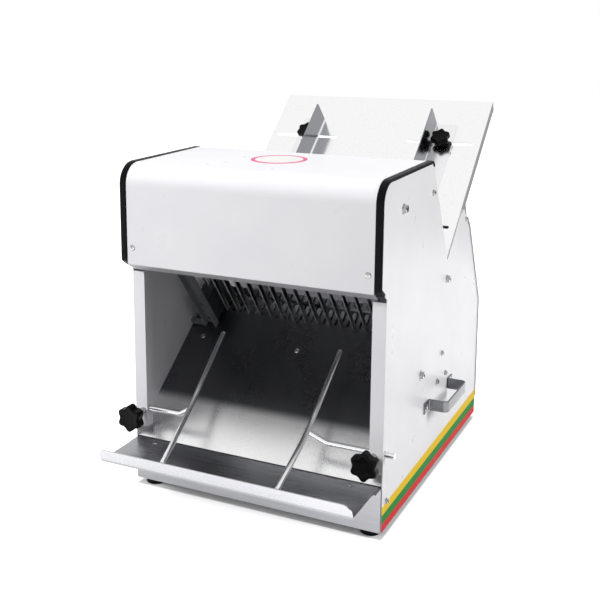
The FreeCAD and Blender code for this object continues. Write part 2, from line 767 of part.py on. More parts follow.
# Strap handles: a flat bar bent out from each side panel between two screws.
def handle(side):
    body = loose_body()
    y = size("handle_y")
    reach = size("handle_reach")
    tall = size("handle_height")
    face = HALF
    path = [
        (face, y - HANDLE_SCREW - HANDLE_TAB),
        (face, y - HANDLE_SPAN, 4),
        (face + reach, y - HANDLE_SPAN, 8),
        (face + reach, y + HANDLE_SPAN, 8),
        (face, y + HANDLE_SPAN, 4),
        (face, y + HANDLE_SCREW + HANDLE_TAB),
    ]
    outline = strip(path, -HANDLE_SHEET)
    outline = [(side * p[0],) + tuple(p[1:]) for p in outline]
    add_pad(body, "XY_Plane", [outline], size("handle_z") - tall / 2, tall)
    holes = [("circle", py, pz, SMALL_SHANK + SLIP) for py, pz in HANDLE_BOLTS]
    top = face + HANDLE_SHEET + SLIP if side > 0 else SLIP - face
    add_pocket(body, "YZ_Plane", holes, top, HANDLE_SHEET + 2 * SLIP)
    seats = [Vector(side * (face + HANDLE_SHEET), py, pz) for py, pz in HANDLE_BOLTS]
    pan_screws.extend([pan_screw(p, Vector(side, 0, 0)) for p in seats])
    return body


group([handle(side) for name, side in each_side()], "handles")

tie_bolts = []
small_bolts = []
TIE_HEAD = 7.0
TIE_KEY = 3.2
SMALL_HEAD = 4.6
SMALL_TALL = 4.0
SMALL_KEY = 2.2
for name, side in each_side():
    away = Vector(side, 0, 0)
    for y, z in TIE_BOLTS:
        tie_bolts.append(screw(Vector(side * HALF, y, z), away, TIE_HEAD, TIE_HEAD, TIE_SHANK, 14.0, TIE_KEY))
    for bolts, reach in ((SMALL_BOLTS, 7.0), (BEARING_BOLTS, 9.0)):
        for y, z in bolts:
            seat = Vector(side * HALF, y, z)
            small_bolts.append(screw(seat, away, SMALL_HEAD, SMALL_TALL, SMALL_SHANK, reach, SMALL_KEY))
group(tie_bolts, "tie_bolts")

# Round tie rods between the panels: one under the hood and one under the feed board.
TIE_ROD = 6.5
THREAD_DEPTH = 18.0
tie_rods = []
for y, z in TIE_BOLTS[:2]:
    reach = INNER - SLIP
    rod = cylinder(Vector(-reach, y, z), Vector(reach, y, z), TIE_ROD)
    threads = []
    for s in (-1, 1):
        deep = Vector(s * (reach - THREAD_DEPTH), y, z)
        threads.append(cylinder(deep, Vector(s * (reach + 1), y, z), TIE_SHANK + SLIP))
    tie_rods.append(cut(rod, threads))
group(tie_rods, "tie_rods")
group(small_bolts, "panel_screws")

# Blade frames: two sets of blades, each between an upper and a lower bar joined by rods.
BLADE_END = 6.0
ROD_END = 4.0
NOTCH_NEAR = 19.6
NOTCH_FAR = 36.4
NOTCH_DEPTH = 12.4


def blade_frame(name, side, parity, rest):
    middle = side * (size("frame_half_gap") + size("bar_depth") / 2)
    half_bar = size("bar_depth") / 2
    tall = size("bar_height") / 2
    low = size("lower_bar") + rest
    high = size("upper_bar") + rest
    reach = size("bar_half_length")
    places = blade_places()[parity::2]
    groove = size("blade_sheet") / 2 + SLIP / 2
    for part, centre, inward in (("lower", low, 1), ("upper", high, -1)):
        body = new_body("frame_%s_%s_bar" % (name, part), BLADE_PLACE)
        flat = rectangle(-reach, middle - half_bar, reach, middle + half_bar)
        add_pad(body, "XY_Plane", [flat], centre - tall, 2 * tall)
        z0, z1 = sorted((centre + inward * tall * 1.2, centre - inward * (tall - BLADE_END)))
        slots = [rectangle(x - groove, z0, x + groove, z1) for x in places]
        add_pocket(body, "XZ_Plane", slots, 40 - middle + half_bar, 80)
        bores = [("circle", s * size("rod_offset"), middle, size("rod_radius")) for s in (-1, 1)]
        add_pocket(body, "XY_Plane", bores, centre + 2 * tall, 4 * tall)
        if part == "lower":
            x0, x1 = sorted((side * NOTCH_NEAR, side * NOTCH_FAR))
            y0, y1 = sorted((side * SHEET, side * NOTCH_DEPTH))
            add_pocket(body, "XY_Plane", [rectangle(-x1, y0, -x0, y1)], centre + 2 * tall, 4 * tall)
    rods = []
    end = tall + ROD_END
    for s in (-1, 1):
        x = s * size("rod_offset")
        rods.append(cylinder(Vector(x, middle, low - end), Vector(x, middle, high + end), size("rod_radius")))
    group(rods, "frame_%s_rods" % name, BLADE_PLACE)
    blades = []
    half = size("blade_sheet") / 2
    wide = size("blade_width") / 2
    foot = low - tall + BLADE_END
    head = high + tall - BLADE_END
    for x in places:
        blades.append(box(x - half, middle - wide, foot, x + half, middle + wide, head))
    group(blades, "blades_%s" % name, BLADE_PLACE)
    return middle, low, high


FRAME_A = blade_frame("a", -1, 0, size("throw"))
FRAME_B = blade_frame("b", 1, 1, -size("throw"))

# Guide channels and the slide blocks that the frame rods run in.
BLOCK_SPOTS = ((5.0, 70.0), (225.0, 285.0))
CHANNEL_HALF = 12.0
CHANNEL_BACK = -44.0
CHANNEL_FRONT = -57.0
CHANNEL_TOP = 330.0
BLOCK_BACK = 20.0
CHANNEL_WALL = 2.0
BRACKET_SPOTS = (3.0, 250.0)
BRACKET_SHEET = 3.0
BRACKET_FOOT = 10.0


def channel_bolts():
    spots = []
    for low, high in BLOCK_SPOTS:
        spots += [low + 10, high - 10]
    return spots


def guides(side):
    x = side * size("rod_offset")
    channel = loose_body()
    wall = CHANNEL_WALL
    web = rectangle(x - CHANNEL_HALF, CHANNEL_BACK - wall, x + CHANNEL_HALF, CHANNEL_BACK)
    add_pad(channel, "XY_Plane", [web], 1, CHANNEL_TOP)
    for edge in (x - CHANNEL_HALF, x + CHANNEL_HALF - wall):
        flange = rectangle(edge, CHANNEL_FRONT, edge + wall, CHANNEL_BACK)
        add_pad(channel, "XY_Plane", [flange], 1, CHANNEL_TOP)
    holes = [("circle", x, spot, SMALL_SHANK + SLIP) for spot in channel_bolts()]
    add_pocket(channel, "XZ_Plane", holes, -CHANNEL_FRONT, 40)
    blocks = []
    inward = BLADE_PLACE.Rotation.multVec(Vector(0, -1, 0))
    for low, high in BLOCK_SPOTS:
        block = box(x - CHANNEL_HALF, CHANNEL_BACK, low, x + CHANNEL_HALF, BLOCK_BACK, high)
        bores = []
        for middle in (FRAME_A[0], FRAME_B[0]):
            rod = size("rod_radius") + SLIP / 2
            bores.append(cylinder(Vector(x, middle, low - 5), Vector(x, middle, high + 5), rod))
        for spot in (low + 10, high - 10):
            mouth = Vector(x, CHANNEL_BACK - 1, spot)
            bores.append(cylinder(mouth, mouth + Vector(0, 15, 0), SMALL_SHANK + SLIP))
            seat = BLADE_PLACE.multVec(Vector(x, CHANNEL_BACK - wall, spot))
            pan_screws.append(pan_screw(seat, inward))
        blocks.append(cut(block, bores))
    brackets = [channel]
    back = CHANNEL_BACK - wall
    for spot in BRACKET_SPOTS:
        x0, x1 = sorted((side * (INNER - SLIP), x + side * CHANNEL_HALF))
        web = box(x0, CHANNEL_FRONT, spot, x1, back, spot + BRACKET_SHEET)
        y0, y1 = sorted((side * (INNER - SLIP), side * (INNER - SLIP - BRACKET_SHEET)))
        foot = box(y0, CHANNEL_FRONT, spot, y1, back, spot + BRACKET_FOOT)
        brackets += [web, foot]
    return fused(brackets), blocks


channels = []
blocks = []
for name, side in each_side():
    one_channel, some_blocks = guides(side)
    channels.append(one_channel)
    blocks += some_blocks
group(channels, "guide_channels", BLADE_PLACE)
group(blocks, "slide_blocks", BLADE_PLACE)

# Crankshaft in three lengths between flanged bearings, and one connecting rod to each frame.
SHAFT = 12.5
WEB = 30.0
WEB_THICK = 8.0
ROD_X = 28.0
ROD_THICK = 14.0
PIN = 7.0
PIN_GAP = 0.3


def crank():
    slab = ROD_THICK / 2 + 1
    inner = ROD_X - slab
    outer = ROD_X + slab
    at = lambda x: Vector(x, CRANK.y, CRANK.z)
    end = INNER - 2
    middle = [cylinder(at(-inner), at(inner), SHAFT), cylinder(at(-inner), at(WEB_THICK - inner), WEB)]
    middle.append(cylinder(at(inner - WEB_THICK), at(inner), WEB))
    fused(middle, "crank_middle")
    ends = []
    housings = []
    rings = []
    for name, side in each_side():
        shaft = cylinder(at(side * outer), at(side * end), SHAFT)
        web = cylinder(at(side * outer), at(side * (outer + WEB_THICK)), WEB)
        ends.append(fused([shaft, web]))
        face = side * (INNER - SLIP)
        plate = loose_body()
        points = [(y + (y - CRANK.y) * 0.62, z + (z - CRANK.z) * 0.62, 9) for y, z in BEARING_BOLTS]
        points.reverse()
        x0, x1 = sorted((face, face - side * 5))
        add_pad(plate, "YZ_Plane", [points], x0, x1 - x0)
        hub = cylinder(at(face - side * 2), at(face - side * 10), 24.0)
        bore = cylinder(at(face + side * 2), at(face - side * 12), 20.0)
        holes = []
        for y, z in BEARING_BOLTS:
            mouth = Vector(face + side * 2, y, z)
            holes.append(cylinder(mouth, mouth - Vector(side * 10, 0, 0), SMALL_SHANK + SLIP))
        housings.append(cut(fused([plate, hub]), [bore] + holes))
        ring = cylinder(at(face - side * 0.5), at(face - side * 9.5), 20.0)
        rings.append(cut(ring, [cylinder(at(face + side), at(face - side * 11), SHAFT + SLIP / 2)]))
    group(ends, "crank_ends")
    group(housings, "bearing_housings")
    group(rings, "bearings")


def connecting_rod(name, side, frame, rest):
    """A rod from the wrist pin under a frame bar to the crank, with its crank pin in it."""
    x = side * ROD_X
    middle = frame[0]
    bar_low = frame[1] - size("bar_height") / 2
    low = bar_low - WRIST_DROP
    far = -size("crank_drop") + rest
    half = ROD_THICK / 2
    across = lambda n, u, reach, radius: cylinder(Vector(x - reach, n, u), Vector(x + reach, n, u), radius)
    run = Vector(0, -middle, far - low)
    shank = box(-half + 3, -5, 0, half - 3, 5, run.Length)
    shank.Placement = Placement(Vector(x, middle, low), Rotation(Vector(0, 0, 1), run))
    reach = half + 1 - PIN_GAP
    pieces = [shank, across(middle, low, half, 9.0), across(0, far, half, 14.0), across(0, far, reach, PIN)]
    eye = across(middle, low, half + 1, WRIST + SLIP / 2)
    cut(fused(pieces), [eye], "connecting_rod_" + name, BLADE_PLACE)
    cheeks = [box(x - half - 7, middle - 6, bar_low - 3, x + half + 7, middle + 6, bar_low)]
    for s in (-1, 1):
        x0, x1 = sorted((x + s * (half + 1), x + s * (half + 7)))
        cheeks.append(box(x0, middle - 6, low - 7, x1, middle + 6, bar_low))
    clear = across(middle, low, half + 0.9, 10.0)
    wrist = across(middle, low, half + 7, WRIST)
    fused([cut(fused(cheeks), [clear]), wrist], "wrist_bracket_" + name, BLADE_PLACE)


WRIST_DROP = 10.0
WRIST = 4.0
crank()
connecting_rod("a", -1, FRAME_A, size("throw"))
connecting_rod("b", 1, FRAME_B, -size("throw"))


# Belt drive on the left: motor on its bed, two pulleys and a belt.
def drive():
    outer = INNER - 10.5
    inner = outer - size("pulley_width")
    big = size("big_pulley_radius")
    small = size("small_pulley_radius")
    my = size("motor_y")
    mz = size("motor_z")
    at = lambda x: Vector(x, CRANK.y, CRANK.z)
    m = lambda x: Vector(x, my, mz)
    centre = -(outer + inner) / 2
    for name, place, radius, shaft in (("crank_pulley", at, big, SHAFT), ("motor_pulley", m, small, 7.0)):
        rim = cylinder(place(-outer), place(-inner), radius)
        tools = [cylinder(place(-outer - 1), place(-inner + 1), shaft)]
        ring = cylinder(place(centre - 5), place(centre + 5), radius + 1)
        core = cylinder(place(centre - 6), place(centre + 6), radius - 7)
        tools.append(cut(ring, [core]))
        if radius > 3 * small / 2:
            for turn in range(5):
                angle = math.radians(72 * turn)
                spot = Vector(0, math.sin(angle), math.cos(angle)) * (radius * 0.53)
                tools.append(cylinder(place(-outer - 1) + spot, place(-inner + 1) + spot, radius * 0.2))
        cut(rim, tools, name)
    belt = loose_body()
    run_y = my - CRANK.y
    run_z = mz - CRANK.z
    away = math.hypot(run_y, run_z)
    heading = math.atan2(run_z, run_y)
    loops = []
    for grow in (-6.7, 1.5):
        loops.append(belt_line(big + grow, small + grow, away, heading))
    for index, edges in enumerate((loops[1], loops[0])):
        drawing = sketch_on(belt, "YZ_Plane", [], centre - 4.5 if index == 0 else centre + 4.5)
        for edge in edges:
            drawing.addGeometry(edge, False)
        feature = belt.newObject("PartDesign::Pad" if index == 0 else "PartDesign::Pocket", "Belt")
        feature.Profile = drawing
        feature.Length = 9.0
    keep(belt, "drive_belt")
    front = -185.0
    back = 5.0
    shell = [cylinder(m(front + 14), m(back - 14), size("motor_radius"))]
    for s in (-1, 1):
        shell.append(box(front + 40, my + s * 34 - 8, MOTOR_BED_TOP, back - 40, my + s * 34 + 8, 75.0))
    bore = cylinder(m(front), m(back), size("motor_radius") - 4)
    trim = box(front, my - 60, 40.0, back, my + 60, MOTOR_BED_TOP)
    cut(fused(shell), [bore, trim], "motor_body")
    caps = []
    for x0, x1 in ((front, front + 14), (back - 14, back)):
        cap = cylinder(m(x0), m(x1), size("motor_radius") - 1)
        caps.append(cut(cap, [cylinder(m(x0 - 1), m(x1 + 1), 7.0 + SLIP / 2)]))
    group(caps, "motor_caps")
    rotor = cylinder(m(front + 22), m(back - 24), 40.0)
    fused([cylinder(m(-outer - 1), m(back - 16), 7.0), rotor], "motor_shaft")
    bed = new_body("motor_bed")
    edge = INNER - SLIP
    ahead = my - MOTOR_BED_AHEAD
    behind = my + MOTOR_BED_BEHIND
    low = MOTOR_BED_TOP - MOTOR_BED_SHEET
    add_pad(bed, "XY_Plane", [rectangle(-edge, ahead, edge, behind)], low, MOTOR_BED_SHEET)
    for s in (-1, 1):
        x0, x1 = sorted((s * edge, s * (edge - MOTOR_BED_SHEET)))
        add_pad(bed, "XY_Plane", [rectangle(x0, ahead, x1, behind)], low, MOTOR_BED_EDGE)
    spots = [(x, my + s * 34) for x in (front + 52, back - 52) for s in (-1, 1)]
    add_pocket(bed, "XY_Plane", [("circle", x, y, 2 * SLIP + 2.5) for x, y in spots], MOTOR_BED_TOP + 3, 9)


MOTOR_BED_TOP = 52.0
MOTOR_BED_SHEET = 3.0
MOTOR_BED_EDGE = 25.0
MOTOR_BED_AHEAD = 82.0
MOTOR_BED_BEHIND = 84.0


def belt_line(big, small, away, heading):
    """Four edges of a belt line round the crank pulley and the motor pulley."""
    open_angle = math.acos((big - small) / away)
    first = Vector(CRANK.y, CRANK.z, 0)
    second = Vector(size("motor_y"), size("motor_z"), 0)
    point = lambda middle, radius, angle: middle + Vector(math.cos(angle), math.sin(angle), 0) * radius
    a0 = point(first, big, heading + open_angle)
    a1 = point(first, big, heading + math.pi)
    a2 = point(first, big, heading - open_angle)
    b0 = point(second, small, heading + open_angle)
    b1 = point(second, small, heading)
    b2 = point(second, small, heading - open_angle)
    return [Part.Arc(a0, a1, a2), Part.LineSegment(a2, b2), Part.Arc(b2, b1, b0), Part.LineSegment(b0, a0)]


drive()

# Crumb tray: a shallow drawer that slides out at the back between two rails.
TRAY_FLOOR = 2 * SHEET + SLIP


def crumb_tray():
    floor = TRAY_FLOOR
    top = floor + size("tray_height")
    back = size("body_depth") - 1.0
    shell = loose_body()
    add_pad(shell, "XY_Plane", [rectangle(-TRAY_HALF, TRAY_FRONT, TRAY_HALF, back, 4)], floor, top - floor)
    wall = rectangle(1.5 - TRAY_HALF, TRAY_FRONT + 1.5, TRAY_HALF - 1.5, back - 1.5, 2.5)
    add_pocket(shell, "XY_Plane", [wall], top + 1, top - floor - 0.5)
    grip = box(-45, back - 1, top - 14, 45, back + 14, top - 11)
    fused([shell, grip], "crumb_tray")


crumb_tray()


# Rear cover: a bent plate over the rear edges of the panels, with laps down their outer faces.
COVER_LAP = 3.0
COVER_RISE = 16.0
LAP_RISE = 26.0
STRIPE_TOP = 53.0
INLET_X = -150.0
INLET_Z = 90.0
GLAND = 11.0


def rear_cover():
    depth = size("body_depth")
    low = TRAY_FLOOR + size("tray_height") + 2
    bend = Vector(size("rear_slope_y"), size("rear_slope_z"), 0)
    lobe = Vector(size("rear_lobe_y"), size("rear_lobe_z"), 0)
    run = (lobe - bend).normalize()
    plate_top = bend + run * COVER_RISE
    lap_top = bend + run * LAP_RISE
    middle = [rear_knee(), (bend.x, bend.y, 12)]
    plate = [(depth, low)] + middle + [(plate_top.x, plate_top.y)]
    lap = [(depth, STRIPE_TOP)] + middle + [(lap_top.x, lap_top.y)]
    body = new_body("rear_cover")
    face = HALF + SLIP
    edge = face + SHEET
    out = SHEET + SLIP
    add_pad(body, "YZ_Plane", [strip(shifted(plate, -out), SHEET)], -edge, 2 * edge)
    for s in (-1, 1):
        x0, x1 = sorted((s * face, s * edge))
        add_pad(body, "YZ_Plane", [strip(shifted(lap, -out), out + COVER_LAP)], x0, x1 - x0)
    add_pocket(body, "XZ_Plane", [("circle", INLET_X, INLET_Z, GLAND + SLIP)], GLAND - depth, 3 * GLAND)
    at = lambda y: Vector(INLET_X, depth + y, INLET_Z)
    inlet = [cylinder(at(3 * out), at(-GLAND), GLAND), cylinder(at(5 * out), at(2 * out), GLAND + 4)]
    bore = cylinder(at(6 * out), at(-2 * GLAND), GLAND / 2)
    cut(fused(inlet), [bore], "cable_gland")


rear_cover()


# Switch box on the left panel with a start and a stop button.
def switch_box():
    y = 150.0
    z = 300.0
    base = [box(-HALF - 16, y - 20, z - 34, -HALF, y + 20, z + 34)]
    holes = []
    for label, shift in (("start_button", 15), ("stop_button", -15)):
        start = Vector(-HALF - 10, y, z + shift)
        holes.append(cylinder(start, start + Vector(-10, 0, 0), 9.0 + SLIP))
        keep(cylinder(start + Vector(-2.5, 0, 0), start + Vector(-10, 0, 0), 9.0), label)
    cut(base[0], holes, "switch_box")


switch_box()

group(pan_screws, "pan_head_screws")
doc.recompute()

# The origin is the middle of the footprint, on the plane the feet stand on.
span = nodes[0].Shape.BoundBox
for item in nodes:
    span.add(item.Shape.BoundBox)
onto_origin = Placement(Vector(0, -(span.YMin + span.YMax) / 2, size("foot_height")), Rotation())
for item in nodes:
    item.Placement = onto_origin.multiply(item.Placement)
doc.recompute()
for item in doc.Objects:
    if "Invalid" in item.State or "Error" in item.State:
        raise RuntimeError("bad state: %s %s" % (item.Label, item.State))
os.makedirs("parts", exist_ok=True)
for item in nodes:
    if item.Shape.isNull() or not item.Shape.isValid():
        raise RuntimeError("bad shape: " + item.Label)
    item.Shape.exportStep("parts/%s.step" % item.Label)
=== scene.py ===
import json
import math

import bmesh
import bpy
from mathutils import Matrix, Quaternion, Vector

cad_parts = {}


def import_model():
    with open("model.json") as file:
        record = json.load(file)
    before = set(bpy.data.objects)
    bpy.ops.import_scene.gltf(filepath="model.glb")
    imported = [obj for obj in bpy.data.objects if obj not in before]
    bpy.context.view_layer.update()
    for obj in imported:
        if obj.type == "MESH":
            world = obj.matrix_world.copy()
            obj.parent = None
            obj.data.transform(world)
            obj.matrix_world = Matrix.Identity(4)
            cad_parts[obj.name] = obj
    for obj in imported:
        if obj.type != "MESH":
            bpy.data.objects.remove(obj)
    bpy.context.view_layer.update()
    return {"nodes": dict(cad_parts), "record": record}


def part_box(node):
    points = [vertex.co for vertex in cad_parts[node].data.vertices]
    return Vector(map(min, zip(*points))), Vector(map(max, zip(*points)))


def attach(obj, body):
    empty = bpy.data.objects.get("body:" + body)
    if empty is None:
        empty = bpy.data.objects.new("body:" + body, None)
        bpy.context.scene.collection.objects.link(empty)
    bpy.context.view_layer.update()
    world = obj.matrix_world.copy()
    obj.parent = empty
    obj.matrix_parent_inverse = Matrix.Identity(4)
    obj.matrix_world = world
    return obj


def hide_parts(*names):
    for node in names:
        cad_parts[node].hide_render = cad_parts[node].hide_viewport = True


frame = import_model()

scene = bpy.context.scene

# The maker's own axes start at the front of the posts and the bottom of the floor pan, in millimetres.
FOOT_HEIGHT = 12.0
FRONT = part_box("shelf")[1].y * 1000
HALF = 235.0
CHUTE = math.radians(38.7)
BOARD = math.radians(41.8)
SHELF_Z = 79.3


def at(x, y, z):
    """A place in millimetres on the maker's axes, as metres in the frame."""
    return Vector((x, y + FRONT, z + FOOT_HEIGHT)) / 1000


def turned(origin, degrees):
    """Axes at a place, turned about X, with millimetres as their unit."""
    turn = Matrix.Rotation(math.radians(degrees), 4, "X")
    return Matrix.Translation(origin) @ turn @ Matrix.Scale(0.001, 4)


def aimed(origin, facing, millimetres=True):
    """Axes at a place with Z along a direction."""
    turn = Vector(facing).to_track_quat("Z", "Y").to_matrix().to_4x4()
    return Matrix.Translation(origin) @ turn @ Matrix.Scale(0.001 if millimetres else 1, 4)


BLADE_FOOT = (305.9 * math.cos(CHUTE), SHELF_Z + 305.9 * math.sin(CHUTE))
BLADES = turned(at(0, *BLADE_FOOT), 38.7)
PLATE = turned(at(0, 0, SHELF_Z), 38.7)
FEED = turned(at(0, 629, 659), 41.8)


# Colour and node helpers.
def linear(code):
    """An sRGB hex colour as the linear values that the shader takes."""
    values = []
    for start in (1, 3, 5):
        part = int(code[start:start + 2], 16) / 255
        values.append(part / 12.92 if part <= 0.04045 else ((part + 0.055) / 1.055) ** 2.4)
    return (*values, 1.0)


def add(tree, kind, sockets=None, **settings):
    """Adds a node; a socket takes a value, or a (node, output) pair that it is linked from."""
    node = tree.nodes.new(kind)
    for name, value in settings.items():
        setattr(node, name, value)
    for name, value in (sockets or {}).items():
        if isinstance(value, tuple) and isinstance(value[0], bpy.types.Node):
            tree.links.new(value[0].outputs[value[1]], node.inputs[name])
        else:
            node.inputs[name].default_value = value
    return node


def begin(name):
    """A new material with the Object coordinates that its patterns are laid out on."""
    material = bpy.data.materials.new(name)
    material.use_nodes = True
    tree = material.node_tree
    tree.nodes.clear()
    place = add(tree, "ShaderNodeTexCoord")
    return material, tree, place


def grain(tree, place, size_mm, turn=0.0, stretch=(1, 1, 1), detail=2.0):
    """Noise whose features are a given size in millimetres, stretched along chosen axes."""
    laid = add(
        tree, "ShaderNodeMapping",
        {"Vector": (place, "Object"), "Rotation": (math.radians(turn), 0, 0), "Scale": stretch},
    )
    return add(tree, "ShaderNodeTexNoise", {"Vector": (laid, "Vector"), "Scale": 1000 / size_mm, "Detail": detail})


def ranged(tree, source, low, high, start=0.3, end=0.7):
    return add(
        tree, "ShaderNodeMapRange",
        {"Value": (source, 0), "From Min": start, "From Max": end, "To Min": low, "To Max": high},
    )


def toned(tree, source, first, second, start=0.3, end=0.7):
    """A colour that drifts between two close tones as the noise does."""
    drift = ranged(tree, source, 0, 1, start, end)
    return add(tree, "ShaderNodeMix", {0: (drift, 0), 6: linear(first), 7: linear(second)}, data_type="RGBA")


def along(tree, place, turn, axis, start_mm, end_mm):
    """Goes from 0 to 1 between two distances along an axis that is turned about X."""
    angle = math.radians(turn)
    way = {"slope": (0, math.cos(angle), math.sin(angle)), "lift": (0, -math.sin(angle), math.cos(angle))}[axis]
    reach = add(tree, "ShaderNodeVectorMath", {0: (place, "Object"), 1: way}, operation="DOT_PRODUCT")
    return add(tree, "ShaderNodeMapRange", {
        "Value": (reach, "Value"), "From Min": start_mm / 1000, "From Max": end_mm / 1000,
    }, interpolation_type="SMOOTHSTEP")


def relief(tree, source, strength, depth_mm):
    return add(
        tree, "ShaderNodeBump",
        {"Height": (source, 0), "Strength": strength, "Distance": depth_mm / 1000},
    )


def closed(material, tree, sockets):
    shader = add(tree, "ShaderNodeBsdfPrincipled", sockets)
    add(tree, "ShaderNodeOutputMaterial", {"Surface": (shader, "BSDF")})
    return material


# Materials.
def powder_coat(name, first, second, rough_low, rough_high):
    """Baked powder coat: an even semi-gloss skin with a faint orange peel about 2 mm across."""
    material, tree, place = begin(name)
    cloud = grain(tree, place, 140)
    wiped = grain(tree, place, 35, detail=4.0)
    peel = grain(tree, place, 2.2)
    bump = relief(tree, peel, 0.05, 0.04)
    return closed(material, tree, {
        "Base Color": (toned(tree, cloud, first, second), 2),
        "Roughness": (ranged(tree, wiped, rough_low, rough_high), 0),
        "Normal": (bump, 0),
        "IOR": 1.5,
        "Specular IOR Level": 0.3,
    })


def stainless(
    name, first, second, rough_low, rough_high, turn=0.0, along_axis="y", streak_mm=1.6, depth=0.02,
    painted_light=None, mirror=1.0,
):
    """Rolled stainless sheet: long parallel streaks from the polishing belt, and soft wiped patches."""
    material, tree, place = begin(name)
    stretch = {"x": (0.02, 1, 1), "y": (1, 0.02, 1), "z": (1, 1, 0.02)}[along_axis]
    streaks = grain(tree, place, streak_mm, turn, stretch, 3.0)
    wiped = grain(tree, place, 90, detail=3.0)
    mixed = add(tree, "ShaderNodeMath", {0: (streaks, 0), 1: (wiped, 0)}, operation="ADD")
    halved = add(tree, "ShaderNodeMath", {0: (mixed, 0), 1: 0.5}, operation="MULTIPLY")
    tone = toned(tree, streaks, first, second)
    # Where painted_light is given, part of the sheet takes a second colour along an axis: painted shade or a painted
    # highlight for how the light falls there.
    if painted_light:
        shade, slope, axis, start, end = painted_light
        share = along(tree, place, slope, axis, start, end)
        tone = add(tree, "ShaderNodeMix", {0: (share, 0), 6: (tone, 2), 7: linear(shade)}, data_type="RGBA")
    return closed(material, tree, {
        "Base Color": (tone, 2),
        "Metallic": mirror,
        "Roughness": (ranged(tree, halved, rough_low, rough_high, 0.35, 0.65), 0),
        "Normal": (relief(tree, streaks, 0.15, depth), 0),
    })


def plated(name, first, second, rough_low, rough_high, speck_mm=6.0):
    """Plated or ground metal: nearly even, with faint handling marks in its gloss."""
    material, tree, place = begin(name)
    marks = grain(tree, place, speck_mm, detail=4.0)
    cloud = grain(tree, place, 40)
    return closed(material, tree, {
        "Base Color": (toned(tree, cloud, first, second), 2),
        "Metallic": 1.0,
        "Roughness": (ranged(tree, marks, rough_low, rough_high), 0),
        "Normal": (relief(tree, marks, 0.06, 0.02), 0),
    })


def moulded(name, first, second, rough_low, rough_high, grit_mm=0.9, strength=0.2, sheen=0.3):
    """Moulded plastic or rubber: the fine grit of the mould and a slightly uneven sheen."""
    material, tree, place = begin(name)
    grit = grain(tree, place, grit_mm, detail=1.0)
    cloud = grain(tree, place, 18)
    return closed(material, tree, {
        "Base Color": (toned(tree, cloud, first, second), 2),
        "Roughness": (ranged(tree, cloud, rough_low, rough_high), 0),
        "Normal": (relief(tree, grit, strength, 0.08), 0),
        "IOR": 1.5,
        "Specular IOR Level": sheen,
    })


def cast(name, first, second):
    """Turned grey iron: a dull grainy skin with darker pores."""
    material, tree, place = begin(name)
    pores = grain(tree, place, 1.4, detail=6.0)
    return closed(material, tree, {
        "Base Color": (toned(tree, pores, first, second), 2),
        "Metallic": 0.85,
        "Roughness": (ranged(tree, pores, 0.42, 0.62), 0),
        "Normal": (relief(tree, pores, 0.35, 0.15), 0),
    })


def worn_vinyl(name, first, second):
    """Self-adhesive vinyl film: flat printed colour with a soft film gloss."""
    material, tree, place = begin(name)
    cloud = grain(tree, place, 60, detail=3.0)
    skin = grain(tree, place, 3.0)
    return closed(material, tree, {
        "Base Color": (toned(tree, cloud, first, second), 2),
        "Roughness": (ranged(tree, cloud, 0.42, 0.52), 0),
        "Normal": (relief(tree, skin, 0.05, 0.03), 0),
        "IOR": 1.46,
        "Specular IOR Level": 0.06,
    })


FLAT_LEVEL = FOOT_HEIGHT + SHELF_Z
CHUTE_START = FRONT * math.cos(CHUTE) + FLAT_LEVEL * math.sin(CHUTE)
BOARD_LEVEL = (659 + FOOT_HEIGHT) * math.cos(BOARD) - (629 + FRONT) * math.sin(BOARD)

white_coat = powder_coat("white_powder_coat", "#f2f2f5", "#edecf0", 0.27, 0.36)
grey_coat = powder_coat("grey_powder_coat", "#8f9194", "#868889", 0.36, 0.46)
# The upper part of the chute is painted darker than the lower part: painted shade where the hood shades it, while the
# lower part keeps the bright polished tone.
chute_painted_shade = ("#6a6b6e", 38.7, "slope", CHUTE_START + 80, CHUTE_START + 104)
chute_steel = stainless(
    "polished_stainless_chute", "#f6f6f7", "#fcfcfc", 0.26, 0.32, -38.7, "y", 2.6, 0.006, chute_painted_shade)
board_steel = stainless("polished_stainless_board", "#f3f3f4", "#f8f8f9", 0.12, 0.18, -41.8, "y", 3.0, 0.004)
# The front lip of the shelf is painted lighter than its flat: a painted highlight where the lip catches the light.
shelf_painted_highlight = ("#c4c4c8", 0, "lift", FLAT_LEVEL + 0.8, FLAT_LEVEL + 4)
shelf_steel = stainless(
    "polished_stainless_shelf", "#a0a1a6", "#a7a8ad", 0.24, 0.3, 0, "x", 2.2, 0.004, shelf_painted_highlight)
# The upright of each infeed guide is painted darker than its foot: painted shade on the upright, while the foot keeps
# the bright tone.
guide_painted_shade = ("#8d8e92", 41.8, "lift", BOARD_LEVEL + 2.5, BOARD_LEVEL + 6)
infeed_steel = stainless(
    "brushed_stainless_infeed", "#e9e9eb", "#f2f2f3", 0.14, 0.22, -41.8, "y", 2.4, 0.006, guide_painted_shade)
guide_steel = stainless("brushed_stainless", "#b9babd", "#c9cacd", 0.25, 0.35, -41.8, "y", 1.8, 0.015)
front_steel = stainless("brushed_stainless_front", "#9d9da1", "#a8a8ac", 0.34, 0.42, 0, "x", 1.8, 0.01)
bar_chrome = plated("bright_chrome_plate", "#eeeff0", "#f4f4f5", 0.18, 0.24)
blade_steel = stainless(
    "ground_blade_steel", "#dcdde0", "#ececee", 0.44, 0.54, -38.7, "z", 1.5, 0.02, None, 0.55)
bare_steel = plated("oiled_machined_steel", "#75777a", "#86888b", 0.26, 0.4)
zinc = plated("bright_zinc_plate", "#a6a7a6", "#babbb9", 0.14, 0.26, 2.0)
iron = cast("turned_grey_iron", "#45474a", "#5a5c5f")
black_plastic = moulded("black_moulded_plastic", "#060607", "#0b0b0c", 0.28, 0.42, 0.9, 0.2, 0.08)
black_rubber = moulded("black_extruded_rubber", "#07080a", "#0c0d0f", 0.36, 0.52, 1.2, 0.12, 0.07)
dark_plastic = moulded("dark_bearing_plastic", "#393b3d", "#2e3032", 0.35, 0.48)
